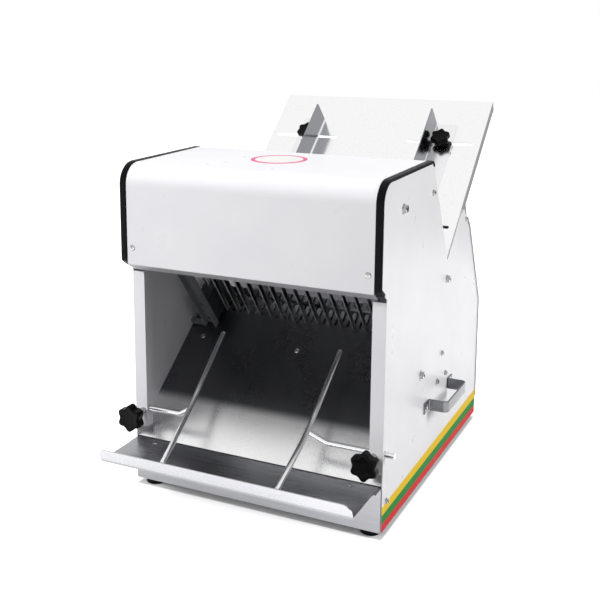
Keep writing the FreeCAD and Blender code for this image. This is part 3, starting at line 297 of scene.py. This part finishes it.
green_plastic = moulded("green_button_plastic", "#1c7a3c", "#23853f", 0.18, 0.28, 1.5, 0.05)
red_plastic = moulded("red_button_plastic", "#b3211f", "#bf2a26", 0.18, 0.28, 1.5, 0.05)
yellow_vinyl = worn_vinyl("yellow_vinyl_film", "#f9cc22", "#fbd02c")
green_vinyl = worn_vinyl("green_vinyl_film", "#0a8430", "#108836")
red_vinyl = worn_vinyl("red_vinyl_film", "#da2f31", "#de3638")
white_vinyl = worn_vinyl("white_vinyl_film", "#f4f1f1", "#efecec")
rose_vinyl = worn_vinyl("rose_vinyl_film", "#de6489", "#e27093")

FINISH = {
    "white_paint": white_coat,
    "grey_paint": grey_coat,
    "polished_steel": chute_steel,
    "brushed_steel": guide_steel,
    "chrome_rod": bar_chrome,
    "blade_steel": blade_steel,
    "machined_steel": bare_steel,
    "fastener_steel": zinc,
    "cast_iron": iron,
    "black_plastic": black_plastic,
    "slide_plastic": dark_plastic,
    "black_rubber": black_rubber,
    "green_plastic": green_plastic,
    "red_plastic": red_plastic,
}
OWN_FINISH = {
    "feed_board": board_steel, "shelf": shelf_steel, "front_panel": front_steel, "rear_cover": front_steel,
    "infeed_guide_left": infeed_steel, "infeed_guide_right": infeed_steel,
}
for entry in frame["record"]["subparts"]:
    node = frame["nodes"][entry["node"]]
    node.data.materials.clear()
    node.data.materials.append(OWN_FINISH.get(entry["node"], FINISH[entry["material_slot"]]))


# Mesh helpers. Meshes are made in millimetres and then moved into the frame.
def shown(name, mesh, material, body, slot, *replaced):
    """Puts a finished mesh in the scene as a piece that rides on a body."""
    mesh.materials.clear()
    mesh.materials.append(material)
    mesh.shade_smooth()
    mesh.set_sharp_from_angle(angle=math.radians(32))
    piece = bpy.data.objects.new(name, mesh)
    scene.collection.objects.link(piece)
    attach(piece, body)
    if replaced:
        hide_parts(*replaced)
    return piece


def to_mesh(name, shape):
    bmesh.ops.remove_doubles(shape, verts=shape.verts, dist=1e-7)
    bmesh.ops.recalc_face_normals(shape, faces=shape.faces)
    mesh = bpy.data.meshes.new(name)
    shape.to_mesh(mesh)
    shape.free()
    return mesh


def joined(name, shapes):
    """One mesh from several, each already in its place."""
    whole = bmesh.new()
    for shape in shapes:
        part = bpy.data.meshes.new("part")
        shape.to_mesh(part)
        shape.free()
        whole.from_mesh(part)
        bpy.data.meshes.remove(part)
    return to_mesh(name, whole)


def rings(loops, close_start=True, close_end=True):
    """A skin over a row of equal loops of points."""
    shape = bmesh.new()
    rows = [[shape.verts.new(point) for point in loop] for loop in loops]
    count = len(loops[0])
    for first, second in zip(rows, rows[1:]):
        for index in range(count):
            after = (index + 1) % count
            shape.faces.new((first[index], first[after], second[after], second[index]))
    if close_start:
        shape.faces.new(list(reversed(rows[0])))
    if close_end:
        shape.faces.new(rows[-1])
    bmesh.ops.recalc_face_normals(shape, faces=shape.faces)
    return shape


def lathe(profile, steps=40):
    """A turned form about Z from (radius, height) points; the first and last may lie on the axis."""
    loops = []
    for radius, height in profile:
        reach = max(radius, 0.001)
        loops.append([
            Vector((reach * math.cos(2 * math.pi * k / steps), reach * math.sin(2 * math.pi * k / steps), height))
            for k in range(steps)
        ])
    return rings(loops)


def bent_line(points, step=9):
    """A line of points whose corners are rounded by the radius given with each point."""
    places = [Vector(p[:3]) for p in points]
    line = [places[0]]
    for index in range(1, len(points) - 1):
        here = places[index]
        radius = points[index][3] if len(points[index]) > 3 else 0
        back = (places[index - 1] - here).normalized()
        forth = (places[index + 1] - here).normalized()
        if radius <= 0 or back.angle(forth) > math.pi - 0.002:
            line.append(here)
            continue
        half_angle = back.angle(forth) / 2
        centre = here + (back + forth).normalized() * (radius / math.sin(half_angle))
        first = here + back * (radius / math.tan(half_angle)) - centre
        last = here + forth * (radius / math.tan(half_angle)) - centre
        turn = first.angle(last)
        axis = first.cross(last).normalized()
        pieces = max(2, int(math.degrees(turn) / step) + 1)
        for k in range(pieces + 1):
            line.append(centre + Quaternion(axis, turn * k / pieces) @ first)
    line.append(places[-1])
    return line


def swept(line, section, side=None):
    """Carries a closed section along a line; its first axis is the side given, or follows the turns."""
    loops = []
    across = side or Vector((1, 0, 0))
    for index, here in enumerate(line):
        before = line[max(index - 1, 0)]
        after = line[min(index + 1, len(line) - 1)]
        into = (here - before).normalized() if index else (after - here).normalized()
        out = (after - here).normalized() if index < len(line) - 1 else into
        heading = (into + out).normalized()
        if side is None:
            across = (across - heading * across.dot(heading)).normalized()
        other = heading.cross(across).normalized()
        widen = 1 / max(heading.dot(into), 0.3) if side is not None else 1
        loops.append([here + across * a + other * (b * widen) for a, b in section])
    return rings(loops)


def round_section(radius, steps=16):
    return [(radius * math.cos(2 * math.pi * k / steps), radius * math.sin(2 * math.pi * k / steps)) for k in range(steps)]


def soft_rectangle(low_a, low_b, high_a, high_b, radius, steps=4):
    """A rectangle with round corners, as a closed section."""
    section = []
    corners = ((high_a - radius, low_b + radius, -90), (high_a - radius, high_b - radius, 0),
               (low_a + radius, high_b - radius, 90), (low_a + radius, low_b + radius, 180))
    for a, b, start in corners:
        for k in range(steps + 1):
            angle = math.radians(start + 90 * k / steps)
            section.append((a + radius * math.cos(angle), b + radius * math.sin(angle)))
    return section


def placed(shape, matrix):
    bmesh.ops.transform(shape, matrix=matrix, verts=shape.verts)
    return shape


def in_frame(mesh):
    """Takes a mesh from millimetres on the maker's axes into the frame."""
    mesh.transform(Matrix.Translation(at(0, 0, 0)) @ Matrix.Scale(0.001, 4))
    return mesh


def carved(base, tool):
    """Cuts one shape out of another and returns the result as a mesh."""
    objects = []
    for shape in (base, tool):
        item = bpy.data.objects.new("carving", to_mesh("carving", shape))
        scene.collection.objects.link(item)
        objects.append(item)
    cutter = objects[0].modifiers.new("cut", "BOOLEAN")
    cutter.object = objects[1]
    cutter.operation = "DIFFERENCE"
    cutter.solver = "EXACT"
    depsgraph = bpy.context.evaluated_depsgraph_get()
    mesh = bpy.data.meshes.new_from_object(objects[0].evaluated_get(depsgraph))
    for item in objects:
        bpy.data.objects.remove(item)
    return mesh


# Geometry Nodes tree that sets one made part on every given place, facing where that place faces.
def setting_tree():
    tree = bpy.data.node_groups.new("set_on_places", "GeometryNodeTree")
    face = tree.interface
    face.new_socket("Places", in_out="INPUT", socket_type="NodeSocketGeometry")
    face.new_socket("Part", in_out="INPUT", socket_type="NodeSocketObject")
    face.new_socket("Finish", in_out="INPUT", socket_type="NodeSocketMaterial")
    face.new_socket("Loose turn", in_out="INPUT", socket_type="NodeSocketFloat")
    face.new_socket("Seed", in_out="INPUT", socket_type="NodeSocketInt")
    face.new_socket("Set parts", in_out="OUTPUT", socket_type="NodeSocketGeometry")
    given = add(tree, "NodeGroupInput")
    part = add(tree, "GeometryNodeObjectInfo", {"Object": (given, "Part")})
    facing = add(tree, "GeometryNodeInputNamedAttribute", {"Name": "facing"}, data_type="FLOAT_VECTOR")
    aim = add(tree, "FunctionNodeAlignRotationToVector", {"Vector": (facing, 0)}, axis="Z")
    turn = add(tree, "FunctionNodeRandomValue", {2: 0.0, 3: (given, "Loose turn"), "Seed": (given, "Seed")}, data_type="FLOAT")
    spin = add(tree, "ShaderNodeCombineXYZ", {"Z": (turn, 1)})
    eased = add(tree, "FunctionNodeEulerToRotation", {0: (spin, 0)})
    both = add(tree, "FunctionNodeRotateRotation", {0: (aim, 0), 1: (eased, 0)}, rotation_space="LOCAL")
    laid = add(tree, "GeometryNodeInstanceOnPoints", {
        "Points": (given, "Places"), "Instance": (part, "Geometry"), "Rotation": (both, 0),
    })
    real = add(tree, "GeometryNodeRealizeInstances", {0: (laid, 0)})
    coated = add(tree, "GeometryNodeSetMaterial", {"Geometry": (real, 0), "Material": (given, "Finish")})
    add(tree, "NodeGroupOutput", {0: (coated, 0)})
    return tree


# Geometry Nodes tree that repeats one blade along X at an even pitch.
def row_tree():
    tree = bpy.data.node_groups.new("even_row", "GeometryNodeTree")
    face = tree.interface
    face.new_socket("Start mesh", in_out="INPUT", socket_type="NodeSocketGeometry")
    face.new_socket("Part", in_out="INPUT", socket_type="NodeSocketObject")
    face.new_socket("Finish", in_out="INPUT", socket_type="NodeSocketMaterial")
    face.new_socket("Count", in_out="INPUT", socket_type="NodeSocketInt")
    face.new_socket("Pitch", in_out="INPUT", socket_type="NodeSocketFloat")
    face.new_socket("First", in_out="INPUT", socket_type="NodeSocketFloat")
    face.new_socket("Row", in_out="OUTPUT", socket_type="NodeSocketGeometry")
    given = add(tree, "NodeGroupInput")
    part = add(tree, "GeometryNodeObjectInfo", {"Object": (given, "Part")})
    start = add(tree, "ShaderNodeCombineXYZ", {"X": (given, "First")})
    step = add(tree, "ShaderNodeCombineXYZ", {"X": (given, "Pitch")})
    line = add(tree, "GeometryNodeMeshLine", {
        "Count": (given, "Count"), "Start Location": (start, 0), "Offset": (step, 0),
    })
    laid = add(tree, "GeometryNodeInstanceOnPoints", {"Points": (line, 0), "Instance": (part, "Geometry")})
    real = add(tree, "GeometryNodeRealizeInstances", {0: (laid, 0)})
    coated = add(tree, "GeometryNodeSetMaterial", {"Geometry": (real, 0), "Material": (given, "Finish")})
    add(tree, "NodeGroupOutput", {0: (coated, 0)})
    return tree


def grown(tree, base_mesh, inputs):
    """Runs a tree on a mesh and returns the result as a plain mesh."""
    carrier = bpy.data.objects.new("carrier", base_mesh)
    scene.collection.objects.link(carrier)
    modifier = carrier.modifiers.new("nodes", "NODES")
    modifier.node_group = tree
    for item in tree.interface.items_tree:
        if item.in_out == "INPUT" and item.name in inputs:
            modifier[item.identifier] = inputs[item.name]
    depsgraph = bpy.context.evaluated_depsgraph_get()
    mesh = bpy.data.meshes.new_from_object(carrier.evaluated_get(depsgraph))
    bpy.data.objects.remove(carrier)
    return mesh


def set_on_places(name, part_mesh, places, material, seed, loose_turn=6.28):
    """Copies of a part on places given as (point in metres, facing)."""
    part = bpy.data.objects.new("part", part_mesh)
    scene.collection.objects.link(part)
    points = bpy.data.meshes.new("places")
    points.from_pydata([place for place, facing in places], [], [])
    field = points.attributes.new("facing", "FLOAT_VECTOR", "POINT")
    for index, (place, facing) in enumerate(places):
        field.data[index].vector = facing
    inputs = {"Part": part, "Finish": material, "Loose turn": loose_turn, "Seed": seed}
    mesh = grown(SETTING, points, inputs)
    mesh.name = name
    bpy.data.objects.remove(part)
    return mesh


SETTING = setting_tree()
ROW = row_tree()


# Blades: thin ground strips with a scalloped cutting edge towards the feed board.
def blade_mesh(low, high, middle):
    half = 0.4
    back = middle - 5.5
    edge = middle + 5.5
    pitch = 9.0
    depth = 1.5
    outline = [(back, low)]
    count = int((high - low) / pitch * 4)
    for k in range(count + 1):
        height = low + (high - low) * k / count
        swing = abs(math.sin(math.pi * (height - low) / pitch))
        outline.append((edge - depth * (1 - swing), height))
    outline.append((back, high))
    shape = bmesh.new()
    left = [shape.verts.new((-half, n, u)) for n, u in outline]
    right = [shape.verts.new((half, n, u)) for n, u in outline]
    for index in range(len(outline)):
        after = (index + 1) % len(outline)
        shape.faces.new((left[index], left[after], right[after], right[index]))
    for index in range(1, len(outline) - 2):
        shape.faces.new((left[0], left[index + 1], left[index]))
        shape.faces.new((right[0], right[index], right[index + 1]))
    shape.faces.new((left[0], left[-1], left[-2]))
    shape.faces.new((right[0], right[-2], right[-1]))
    return to_mesh("blade", shape)


def blade_row(letter, side, first, rest):
    low = -42 + rest - 10 + 6
    high = 320 + rest + 10 - 6
    part = bpy.data.objects.new("blade", blade_mesh(low, high, side * 8.5))
    scene.collection.objects.link(part)
    inputs = {"Part": part, "Finish": blade_steel, "Count": 15, "Pitch": 24.0, "First": first}
    mesh = grown(ROW, bpy.data.meshes.new("start"), inputs)
    bpy.data.objects.remove(part)
    mesh.transform(BLADES)
    shown("toothed_blades_" + letter, mesh, blade_steel, "blade_frame_" + letter, "blade_steel", "blades_" + letter)


blade_row("a", -1, -174.0, 15)
blade_row("b", 1, -162.0, -15)


# Screw heads.
def cross_pan_head():
    """A domed head 10 mm wide with a cross recess."""
    dome = [(0, -7.0), (2.4, -7.0), (2.4, 0), (5.0, 0), (5.0, 0.5)]
    for k in range(1, 8):
        angle = math.radians(90 * k / 7)
        dome.append((5.0 * math.cos(angle), 0.5 + 1.8 * math.sin(angle)))
    base = lathe(dome, 28)
    arm = [(2.6, -0.5), (2.6, 0.5), (0.5, 0.5)]
    cross = []
    for quarter in range(4):
        cross += arm
        arm = [(-b, a) for a, b in arm]
    tool = rings([[Vector((a, b, height)) for a, b in cross] for height in (0.9, 3.9)])
    return carved(base, tool)


def socket_head(radius, height, key, washer, shank):
    """A cap screw head with a hexagon socket, on a plain washer."""
    profile = [
        (0, -9), (shank, -9), (shank, 0), (washer, 0), (washer, 0.9), (washer - 0.3, 1.2), (radius, 1.2),
        (radius, height - 0.7), (radius - 0.7, height), (0, height),
    ]
    base = lathe(profile, 36)
    tool = lathe([(0, height * 0.45), (key, height * 0.45), (key, height + 1), (0, height + 1)], 6)
    return carved(base, tool)


def scaled(mesh):
    mesh.transform(Matrix.Scale(0.001, 4))
    return mesh


def direction(matrix, vector):
    return (matrix.to_3x3() @ Vector(vector)).normalized()


pan_places = [(at(s * 214, -29.6, 434), Vector((0, -1, 0))) for s in (-1, 1)]
pan_places += [(at(s * 185, -14, SHELF_Z), Vector((0, 0, 1))) for s in (-1, 1)]
pan_places += [(PLATE @ Vector((x, 226, 0)), direction(PLATE, (0, 0, 1))) for x in (-199, 0, 199)]
pan_places += [(at(s * 238, y, 138), Vector((s, 0, 0))) for s in (-1, 1) for y in (222.5, 366.5)]
pan_places += [
    (BLADES @ Vector((s * 192, -46, u)), direction(BLADES, (0, -1, 0))) for s in (-1, 1) for u in (15, 60, 235, 275)
]
mesh = set_on_places("domed_screws", scaled(cross_pan_head()), pan_places, zinc, 3)
shown("domed_screws", mesh, zinc, "machine", "fastener_steel", "pan_head_screws")

TIE_BOLTS = [(66.5, 523.0), (328.0, 350.0), (185.0, 209.0)]
SMALL_BOLTS = [(221.8, 526.6), (444.7, 443.5), (19.5, 48.0)]
crank = (BLADE_FOOT[0] + 116 * math.sin(CHUTE), BLADE_FOOT[1] - 116 * math.cos(CHUTE))
BEARING_BOLTS = [
    (crank[0] + 31.4 * math.sin(math.radians(a)), crank[1] + 31.4 * math.cos(math.radians(a))) for a in (0, 120, 240)
]
tie_places = [(at(s * HALF, y, z), Vector((s, 0, 0))) for s in (-1, 1) for y, z in TIE_BOLTS]
small_places = [(at(s * HALF, y, z), Vector((s, 0, 0))) for s in (-1, 1) for y, z in SMALL_BOLTS + BEARING_BOLTS]
mesh = set_on_places("tie_screws", scaled(socket_head(6.5, 7.0, 3.3, 8.5, 3.9)), tie_places, zinc, 5)
shown("tie_screws", mesh, zinc, "machine", "fastener_steel", "tie_bolts")
mesh = set_on_places("panel_cap_screws", scaled(socket_head(4.2, 4.6, 2.2, 5.6, 2.4)), small_places, zinc, 7)
shown("panel_cap_screws", mesh, zinc, "machine", "fastener_steel", "panel_screws")


# Star knobs: six round lobes, a shallow dish on top and a steel stud.
def star_ring(radius, reach, height, steps=96):
    """One level of the star: the lobes fade towards the middle as the level shrinks."""
    ring = []
    for k in range(steps):
        angle = 2 * math.pi * k / steps
        lobe = 0.5 + 0.5 * math.cos(6 * angle)
        wave = 0.79 + 0.21 * lobe ** 1.15
        share = 1 - (1 - wave) * min(1, reach * 1.1)
        ring.append(Vector((radius * reach * share * math.sin(angle), radius * reach * share * math.cos(angle), height)))
    return ring


def star_head(radius, bottom, height):
    soft = min(3.2, height * 0.2)
    levels = [(0.42, bottom)]
    for k in range(6):
        angle = math.radians(90 * k / 5)
        levels.append((1 - soft / radius * (1 - math.sin(angle)), bottom + soft * (1 - math.cos(angle))))
    levels.append((1.0, bottom + height / 2))
    for k in range(6):
        angle = math.radians(90 * k / 5)
        levels.append((1 - soft / radius * (1 - math.cos(angle)), bottom + height - soft * (1 - math.sin(angle))))
    levels += [(0.7, bottom + height - 0.05), (0.62, bottom + height - 0.6), (0.3, bottom + height - 0.9)]
    levels += [(0.001, bottom + height - 0.9)]
    return rings([star_ring(radius, reach, level) for reach, level in levels])


def star_knob(name, body, node, axes, radius, height, stud, stud_length, collar):
    neck = lathe([(0, 0), (radius * 0.36, 0), (radius * 0.42, 1.5), (radius * 0.42, collar + 1), (0, collar + 1)], 32)
    head = joined("head", [placed(star_head(radius, collar, height), axes), placed(neck, axes)])
    shown(name, head, black_plastic, body, "black_plastic", node)
    threads = []
    length = int(stud_length / 1.0)
    for k in range(length * 2 + 1):
        threads.append((stud * (1.0 if k % 2 else 0.9), -stud_length + k * 0.5))
    pin = placed(lathe([(0, -stud_length)] + threads + [(stud * 0.9, 0.5), (0, 0.5)], 20), axes)
    shown(name + "_stud", to_mesh(name + "_stud", pin), zinc, body, "fastener_steel")


for name, s in (("left", -1), ("right", 1)):
    axes = turned(at(s * 219.2, -14.3, 129.8), 90)
    star_knob(name + "_star_knob", name + "_outfeed_knob", "outfeed_knob_" + name, axes, 24.3, 18.0, 4.0, 18.0, 15.2)
for name, x in (("left", -145.0), ("right", 153.0)):
    axes = FEED @ Matrix.Translation((x, -121.4, 2.0))
    star_knob(name + "_small_star_knob", name + "_infeed_knob", "infeed_knob_" + name, axes, 20.0, 13.0, 3.0, 12.0, 8.0)


# Edge trim: extruded rubber with soft corners along the curved edge of each front lobe.
def edge_trim(name, s):
    points = [(0, -13.6, 400), (0, -29.6, 411, 3), (0, -29.6, 576, 36), (0, 216, 581, 4), (0, 224, 574)]
    inner, outer = sorted((s * 224.3, s * 236.5))
    section = soft_rectangle(inner, -1.6, outer, 4.0, 1.5)
    strip = swept(bent_line(points, 6), section, Vector((1, 0, 0)))
    mesh = in_frame(to_mesh(name + "_edge_trim", strip))
    shown(name + "_edge_trim", mesh, black_rubber, "machine", "black_rubber", "edge_trim_" + name)


edge_trim("left", -1)
edge_trim("right", 1)


# Rubber feet with a rounded shoulder and a hollow for the screw.
def feet():
    profile = [
        (4.2, 0), (15.9, 0), (16.9, -0.6), (17.4, -2.0), (18.0, -9.5), (17.6, -11.3), (16.6, -12.0), (9.8, -12.0),
        (9.0, -11.2), (8.7, -6.0), (4.2, -6.0),
    ]
    shape = lathe(profile + [profile[0]], 48)
    mesh = to_mesh("foot", shape)
    mesh.transform(Matrix.Scale(0.001, 4))
    places = [(at(x, y, 0), Vector((0, 0, 1))) for x in (-209, 209) for y in (22, 553)]
    whole = set_on_places("rubber_feet", mesh, places, black_rubber, 2, 0.0)
    shown("rubber_feet", whole, black_rubber, "machine", "black_rubber", "feet")


feet()


# Strap handles: one flat bar each, with rolled edges and easy bends.
def handles():
    shapes = []
    for s in (-1, 1):
        y0, y1 = 294.5 - 60.5, 294.5 + 60.5
        points = [
            (s * 236.5, y0 - 25.5, 138), (s * 236.5, y0, 138, 3.5), (s * 271.5, y0, 138, 8),
            (s * 271.5, y1, 138, 8), (s * 236.5, y1, 138, 3.5), (s * 236.5, y1 + 25.5, 138),
        ]
        section = soft_rectangle(-10.5, -1.5, 10.5, 1.5, 0.9, 3)
        shapes.append(swept(bent_line(points, 8), section, Vector((0, 0, 1))))
    mesh = in_frame(joined("strap_handles", shapes))
    shown("strap_handles", mesh, handle_steel, "machine", "brushed_steel", "handles")


handle_steel = stainless("brushed_stainless_strap", "#6d6e71", "#7b7c7f", 0.2, 0.28, 0, "y", 1.6, 0.02)
handles()


# Slice guides: a bent chromed rod along the chute with a welded cross arm.
def slice_guide(name, s, rod_x, arm_end, tip_inward, arm_bend):
    x = s * rod_x
    knee = Vector((x, 8, 146))
    top = knee + Vector((s * 3.4 / 162, math.cos(CHUTE), math.sin(CHUTE))) * 162
    tip = math.radians(26.5)
    foot = knee - Vector((s * tip_inward / 122, math.cos(tip), math.sin(tip))) * 122
    rod = swept(bent_line([(*top,), (*knee, 300), (*foot,)], 1.2), round_section(5.0, 24))
    arm_line = bent_line([(x, 8, 146), (x + s * arm_bend, 8, 133, 16), (s * arm_end, 8, 133)], 4)
    arm = swept(arm_line, round_section(5.0, 24), Vector((0, 1, 0)))
    ends = []
    dome = [(5.0 * math.cos(a), 2.8 * math.sin(a)) for a in (0.2, 0.5, 0.8, 1.1, 1.35)]
    for end, heading in ((top, top - knee), (foot, foot - knee)):
        cap = lathe([(0, -2), (5.0, -2), (5.0, 0)] + dome + [(0, 2.8)], 24)
        turn = heading.to_track_quat("Z", "Y").to_matrix().to_4x4()
        ends.append(placed(cap, Matrix.Translation(end) @ turn))
    bead = bmesh.new()
    bmesh.ops.create_uvsphere(bead, u_segments=20, v_segments=12, radius=5.9)
    bmesh.ops.scale(bead, vec=(1.1, 0.85, 0.85), verts=bead.verts)
    placed(bead, Matrix.Translation((x + s * 2.0, 8, 145.0)))
    mesh = in_frame(joined(name + "_slice_guide", [rod, arm, bead] + ends))
    shown(name + "_slice_guide", mesh, bar_chrome, name + "_outfeed", "chrome_rod", "outfeed_guide_" + name)


slice_guide("left", -1, 127.0, 229.0, 12.5, 21.0)
slice_guide("right", 1, 100.0, 252.0, 2.5, 34.0)


# Printed stripes along the foot of each side panel, and a plain round film on the hood.
def film(name, s, low, high, rear_low, rear_high, material):
    outer = s * (HALF + 0.2)
    inner = s * (HALF - 0.1)
    corners = [(0.4, low), (574.6, rear_low), (574.6, rear_high), (0.4, high)]
    shape = bmesh.new()
    face = [shape.verts.new((outer, y, z)) for y, z in corners]
    back = [shape.verts.new((inner, y, z)) for y, z in corners]
    shape.faces.new(face)
    shape.faces.new(list(reversed(back)))
    for index in range(4):
        after = (index + 1) % 4
        shape.faces.new((face[index], back[index], back[after], face[after]))
    mesh = in_frame(to_mesh(name, shape))
    shown(name, mesh, material, "machine", "white_paint")


for name, s in (("left", -1), ("right", 1)):
    film(name + "_red_stripe", s, 0.4, 15.0, 0.4, 16.0, red_vinyl)
    film(name + "_green_stripe", s, 15.0, 30.0, 16.0, 33.0, green_vinyl)
    film(name + "_yellow_stripe", s, 30.0, 44.7, 33.0, 51.6, yellow_vinyl)


def hood_film():
    slope = math.degrees(math.atan2(6, 245.6))
    middle = at(-13, 126, 576.2 + (126 + 29.6) * 6 / 245.6)
    axes = turned(middle, slope)
    disc = lathe([(0, -0.3), (42, -0.3), (42, 0.2), (0, 0.2)], 72)
    shown("hood_disc_film", to_mesh("disc", placed(disc, axes)), white_vinyl, "machine", "white_paint")
    rim = lathe([(42, -0.3), (49, -0.3), (49, 0.22), (42, 0.22), (42, -0.3)], 72)
    bmesh.ops.delete(rim, geom=[f for f in rim.faces if len(f.verts) > 4], context="FACES_ONLY")
    shown("hood_rim_film", to_mesh("rim", placed(rim, axes)), rose_vinyl, "machine", "white_paint")


hood_film()


# Floor, soft light and camera.
def floor():
    shape = bmesh.new()
    bmesh.ops.create_grid(shape, x_segments=1, y_segments=1, size=9.0)
    mesh = bpy.data.meshes.new("floor")
    shape.to_mesh(mesh)
    shape.free()
    material, tree, place = begin("pale_studio_floor")
    ray = add(tree, "ShaderNodeLightPath")
    seen = add(tree, "ShaderNodeMath", {0: (ray, "Is Camera Ray"), 1: (ray, "Is Glossy Ray")}, operation="MAXIMUM")
    # How far a place lies outside the outline of the base, in metres.
    middle = add(tree, "ShaderNodeVectorMath", {0: (place, "Object"), 1: (0, BASE_MIDDLE, 0)}, operation="SUBTRACT")
    size = add(tree, "ShaderNodeVectorMath", {0: (middle, 0)}, operation="ABSOLUTE")
    over = add(tree, "ShaderNodeVectorMath", {0: (size, 0), 1: (HALF / 1000, BASE_HALF, 1)}, operation="SUBTRACT")
    apart = add(tree, "ShaderNodeSeparateXYZ", {0: (over, 0)})
    away = add(tree, "ShaderNodeMath", {0: (apart, 0), 1: (apart, 1)}, operation="MAXIMUM")
    # Painted shadow: the floor's glow is kept off inside the outline of the base, so a hard-edged dark footprint shows
    # under the machine, and it rises over 0.4 m beyond, so the floor is painted darker close around the base.
    outside = add(tree, "ShaderNodeMapRange", {
        "Value": (away, 0), "From Min": -0.001, "From Max": 0.001, "To Min": 0.02, "To Max": FLOOR_GLOW,
    })
    further = add(tree, "ShaderNodeMapRange", {
        "Value": (away, 0), "From Min": 0.0, "From Max": 0.4, "To Min": 0.0, "To Max": 1 - FLOOR_GLOW,
    })
    lift = add(tree, "ShaderNodeMath", {0: (outside, 0), 1: (further, 0)}, operation="ADD")
    strength = add(tree, "ShaderNodeMath", {0: (lift, 0), 1: (seen, 0)}, operation="MULTIPLY")
    speckle = add(tree, "ShaderNodeTexNoise", {"Vector": (place, "Object"), "Scale": 3.0})
    pale = add(tree, "ShaderNodeBsdfDiffuse", {"Color": (toned(tree, speckle, "#f6f6f6", "#fafafa"), 2)})
    dull = add(tree, "ShaderNodeBsdfDiffuse", {"Color": linear(FLOOR_BOUNCE)})
    base = add(tree, "ShaderNodeMixShader", {0: (seen, 0), 1: (dull, 0), 2: (pale, 0)})
    glow = add(tree, "ShaderNodeEmission", {"Color": (1, 1, 1, 1), "Strength": (strength, 0)})
    both = add(tree, "ShaderNodeAddShader", {0: (base, 0), 1: (glow, 0)})
    add(tree, "ShaderNodeOutputMaterial", {"Surface": (both, 0)})
    mesh.materials.append(material)
    ground = bpy.data.objects.new("floor", mesh)
    scene.collection.objects.link(ground)


def world():
    sky = bpy.data.worlds.new("studio")
    scene.world = sky
    sky.use_nodes = True
    tree = sky.node_tree
    tree.nodes.clear()
    ray = add(tree, "ShaderNodeLightPath")
    seen = add(tree, "ShaderNodeMath", {0: (ray, "Is Camera Ray"), 1: (ray, "Is Glossy Ray")}, operation="MAXIMUM")
    shown_too = add(tree, "ShaderNodeMath", {0: (seen, 0), 1: (ray, "Is Transmission Ray")}, operation="MAXIMUM")
    level = add(tree, "ShaderNodeMapRange", {"Value": (shown_too, 0), "To Min": AMBIENT, "To Max": 1.0})
    back = add(tree, "ShaderNodeBackground", {"Color": (1, 1, 1, 1), "Strength": (level, 0)})
    add(tree, "ShaderNodeOutputWorld", {"Surface": (back, 0)})


def lamp(name, place, target, size, power):
    data = bpy.data.lights.new(name, "AREA")
    data.shape = "RECTANGLE"
    data.size, data.size_y = size
    data.energy = power
    item = bpy.data.objects.new(name, data)
    item.matrix_world = aimed(Vector(place), Vector(place) - Vector(target), False)
    item.visible_glossy = False
    scene.collection.objects.link(item)


def card(name, place, facing, width, height, level):
    """A grey glowing card beside the machine that only mirror-like surfaces show, as in a product studio: a painted
    reflection, since it lights nothing.
    """
    shape = bmesh.new()
    bmesh.ops.create_grid(shape, x_segments=1, y_segments=1, size=0.5)
    mesh = bpy.data.meshes.new(name)
    shape.to_mesh(mesh)
    shape.free()
    material, tree, where = begin(name + "_cloth")
    reflection_mottle = add(tree, "ShaderNodeTexNoise", {"Vector": (where, "Object"), "Scale": 6.0})
    reflection_glow = add(tree, "ShaderNodeEmission", {
        "Color": (toned(tree, reflection_mottle, "#f4f4f8", "#ffffff"), 2), "Strength": level,
    })
    add(tree, "ShaderNodeOutputMaterial", {"Surface": (reflection_glow, 0)})
    mesh.materials.append(material)
    item = bpy.data.objects.new(name, mesh)
    item.matrix_world = aimed(Vector(place), Vector(facing), False) @ Matrix.Diagonal((width, height, 1, 1))
    for ray in ("camera", "diffuse", "transmission", "shadow"):
        setattr(item, "visible_" + ray, False)
    scene.collection.objects.link(item)


AMBIENT = 0.25
FLOOR_GLOW = 0.5
FLOOR_BOUNCE = "#6c6c6c"
BASE_MIDDLE = (FRONT + 287.5) / 1000
BASE_HALF = 0.2875
floor()
world()
lamp("overhead_softbox", (-0.2, 0.3, 6.0), (0, 0, 0.3), (2.2, 2.2), 80)
lamp("side_softbox", (2.8, 0.1, 1.6), (0, 0, 0.3), (1.0, 1.2), 60)
lamp("front_softbox", (-1.6, -2.6, 1.9), (0, 0, 0.3), (1.2, 1.2), 86)
# Painted reflections: a dim card at the right and a brighter one behind the machine.
card("right_card", (2.2, -0.2, 0.7), (-1, 0, 0), 3.4, 1.6, 0.06)
card("rear_card", (1.0, 1.9, 0.45), (-0.3, -1, 0), 1.6, 0.95, 0.36)


def camera():
    data = bpy.data.cameras.new("camera")
    data.sensor_width = 36
    data.lens = 57.31
    data.shift_x = 0.0109
    data.shift_y = -0.1323
    data.clip_end = 100
    item = bpy.data.objects.new("camera", data)
    ahead = Vector((-0.41914, 0.88841, -0.18724)).normalized()
    right = Vector((0.90379, 0.42792, 0.00724)).normalized()
    up = right.cross(ahead).normalized()
    axes = Matrix((right, up, -ahead)).transposed().to_4x4()
    item.matrix_world = Matrix.Translation(at(710.35, -1347.73, 785.04)) @ axes
    scene.collection.objects.link(item)
    scene.camera = item


camera()
scene.view_settings.view_transform = "Standard"
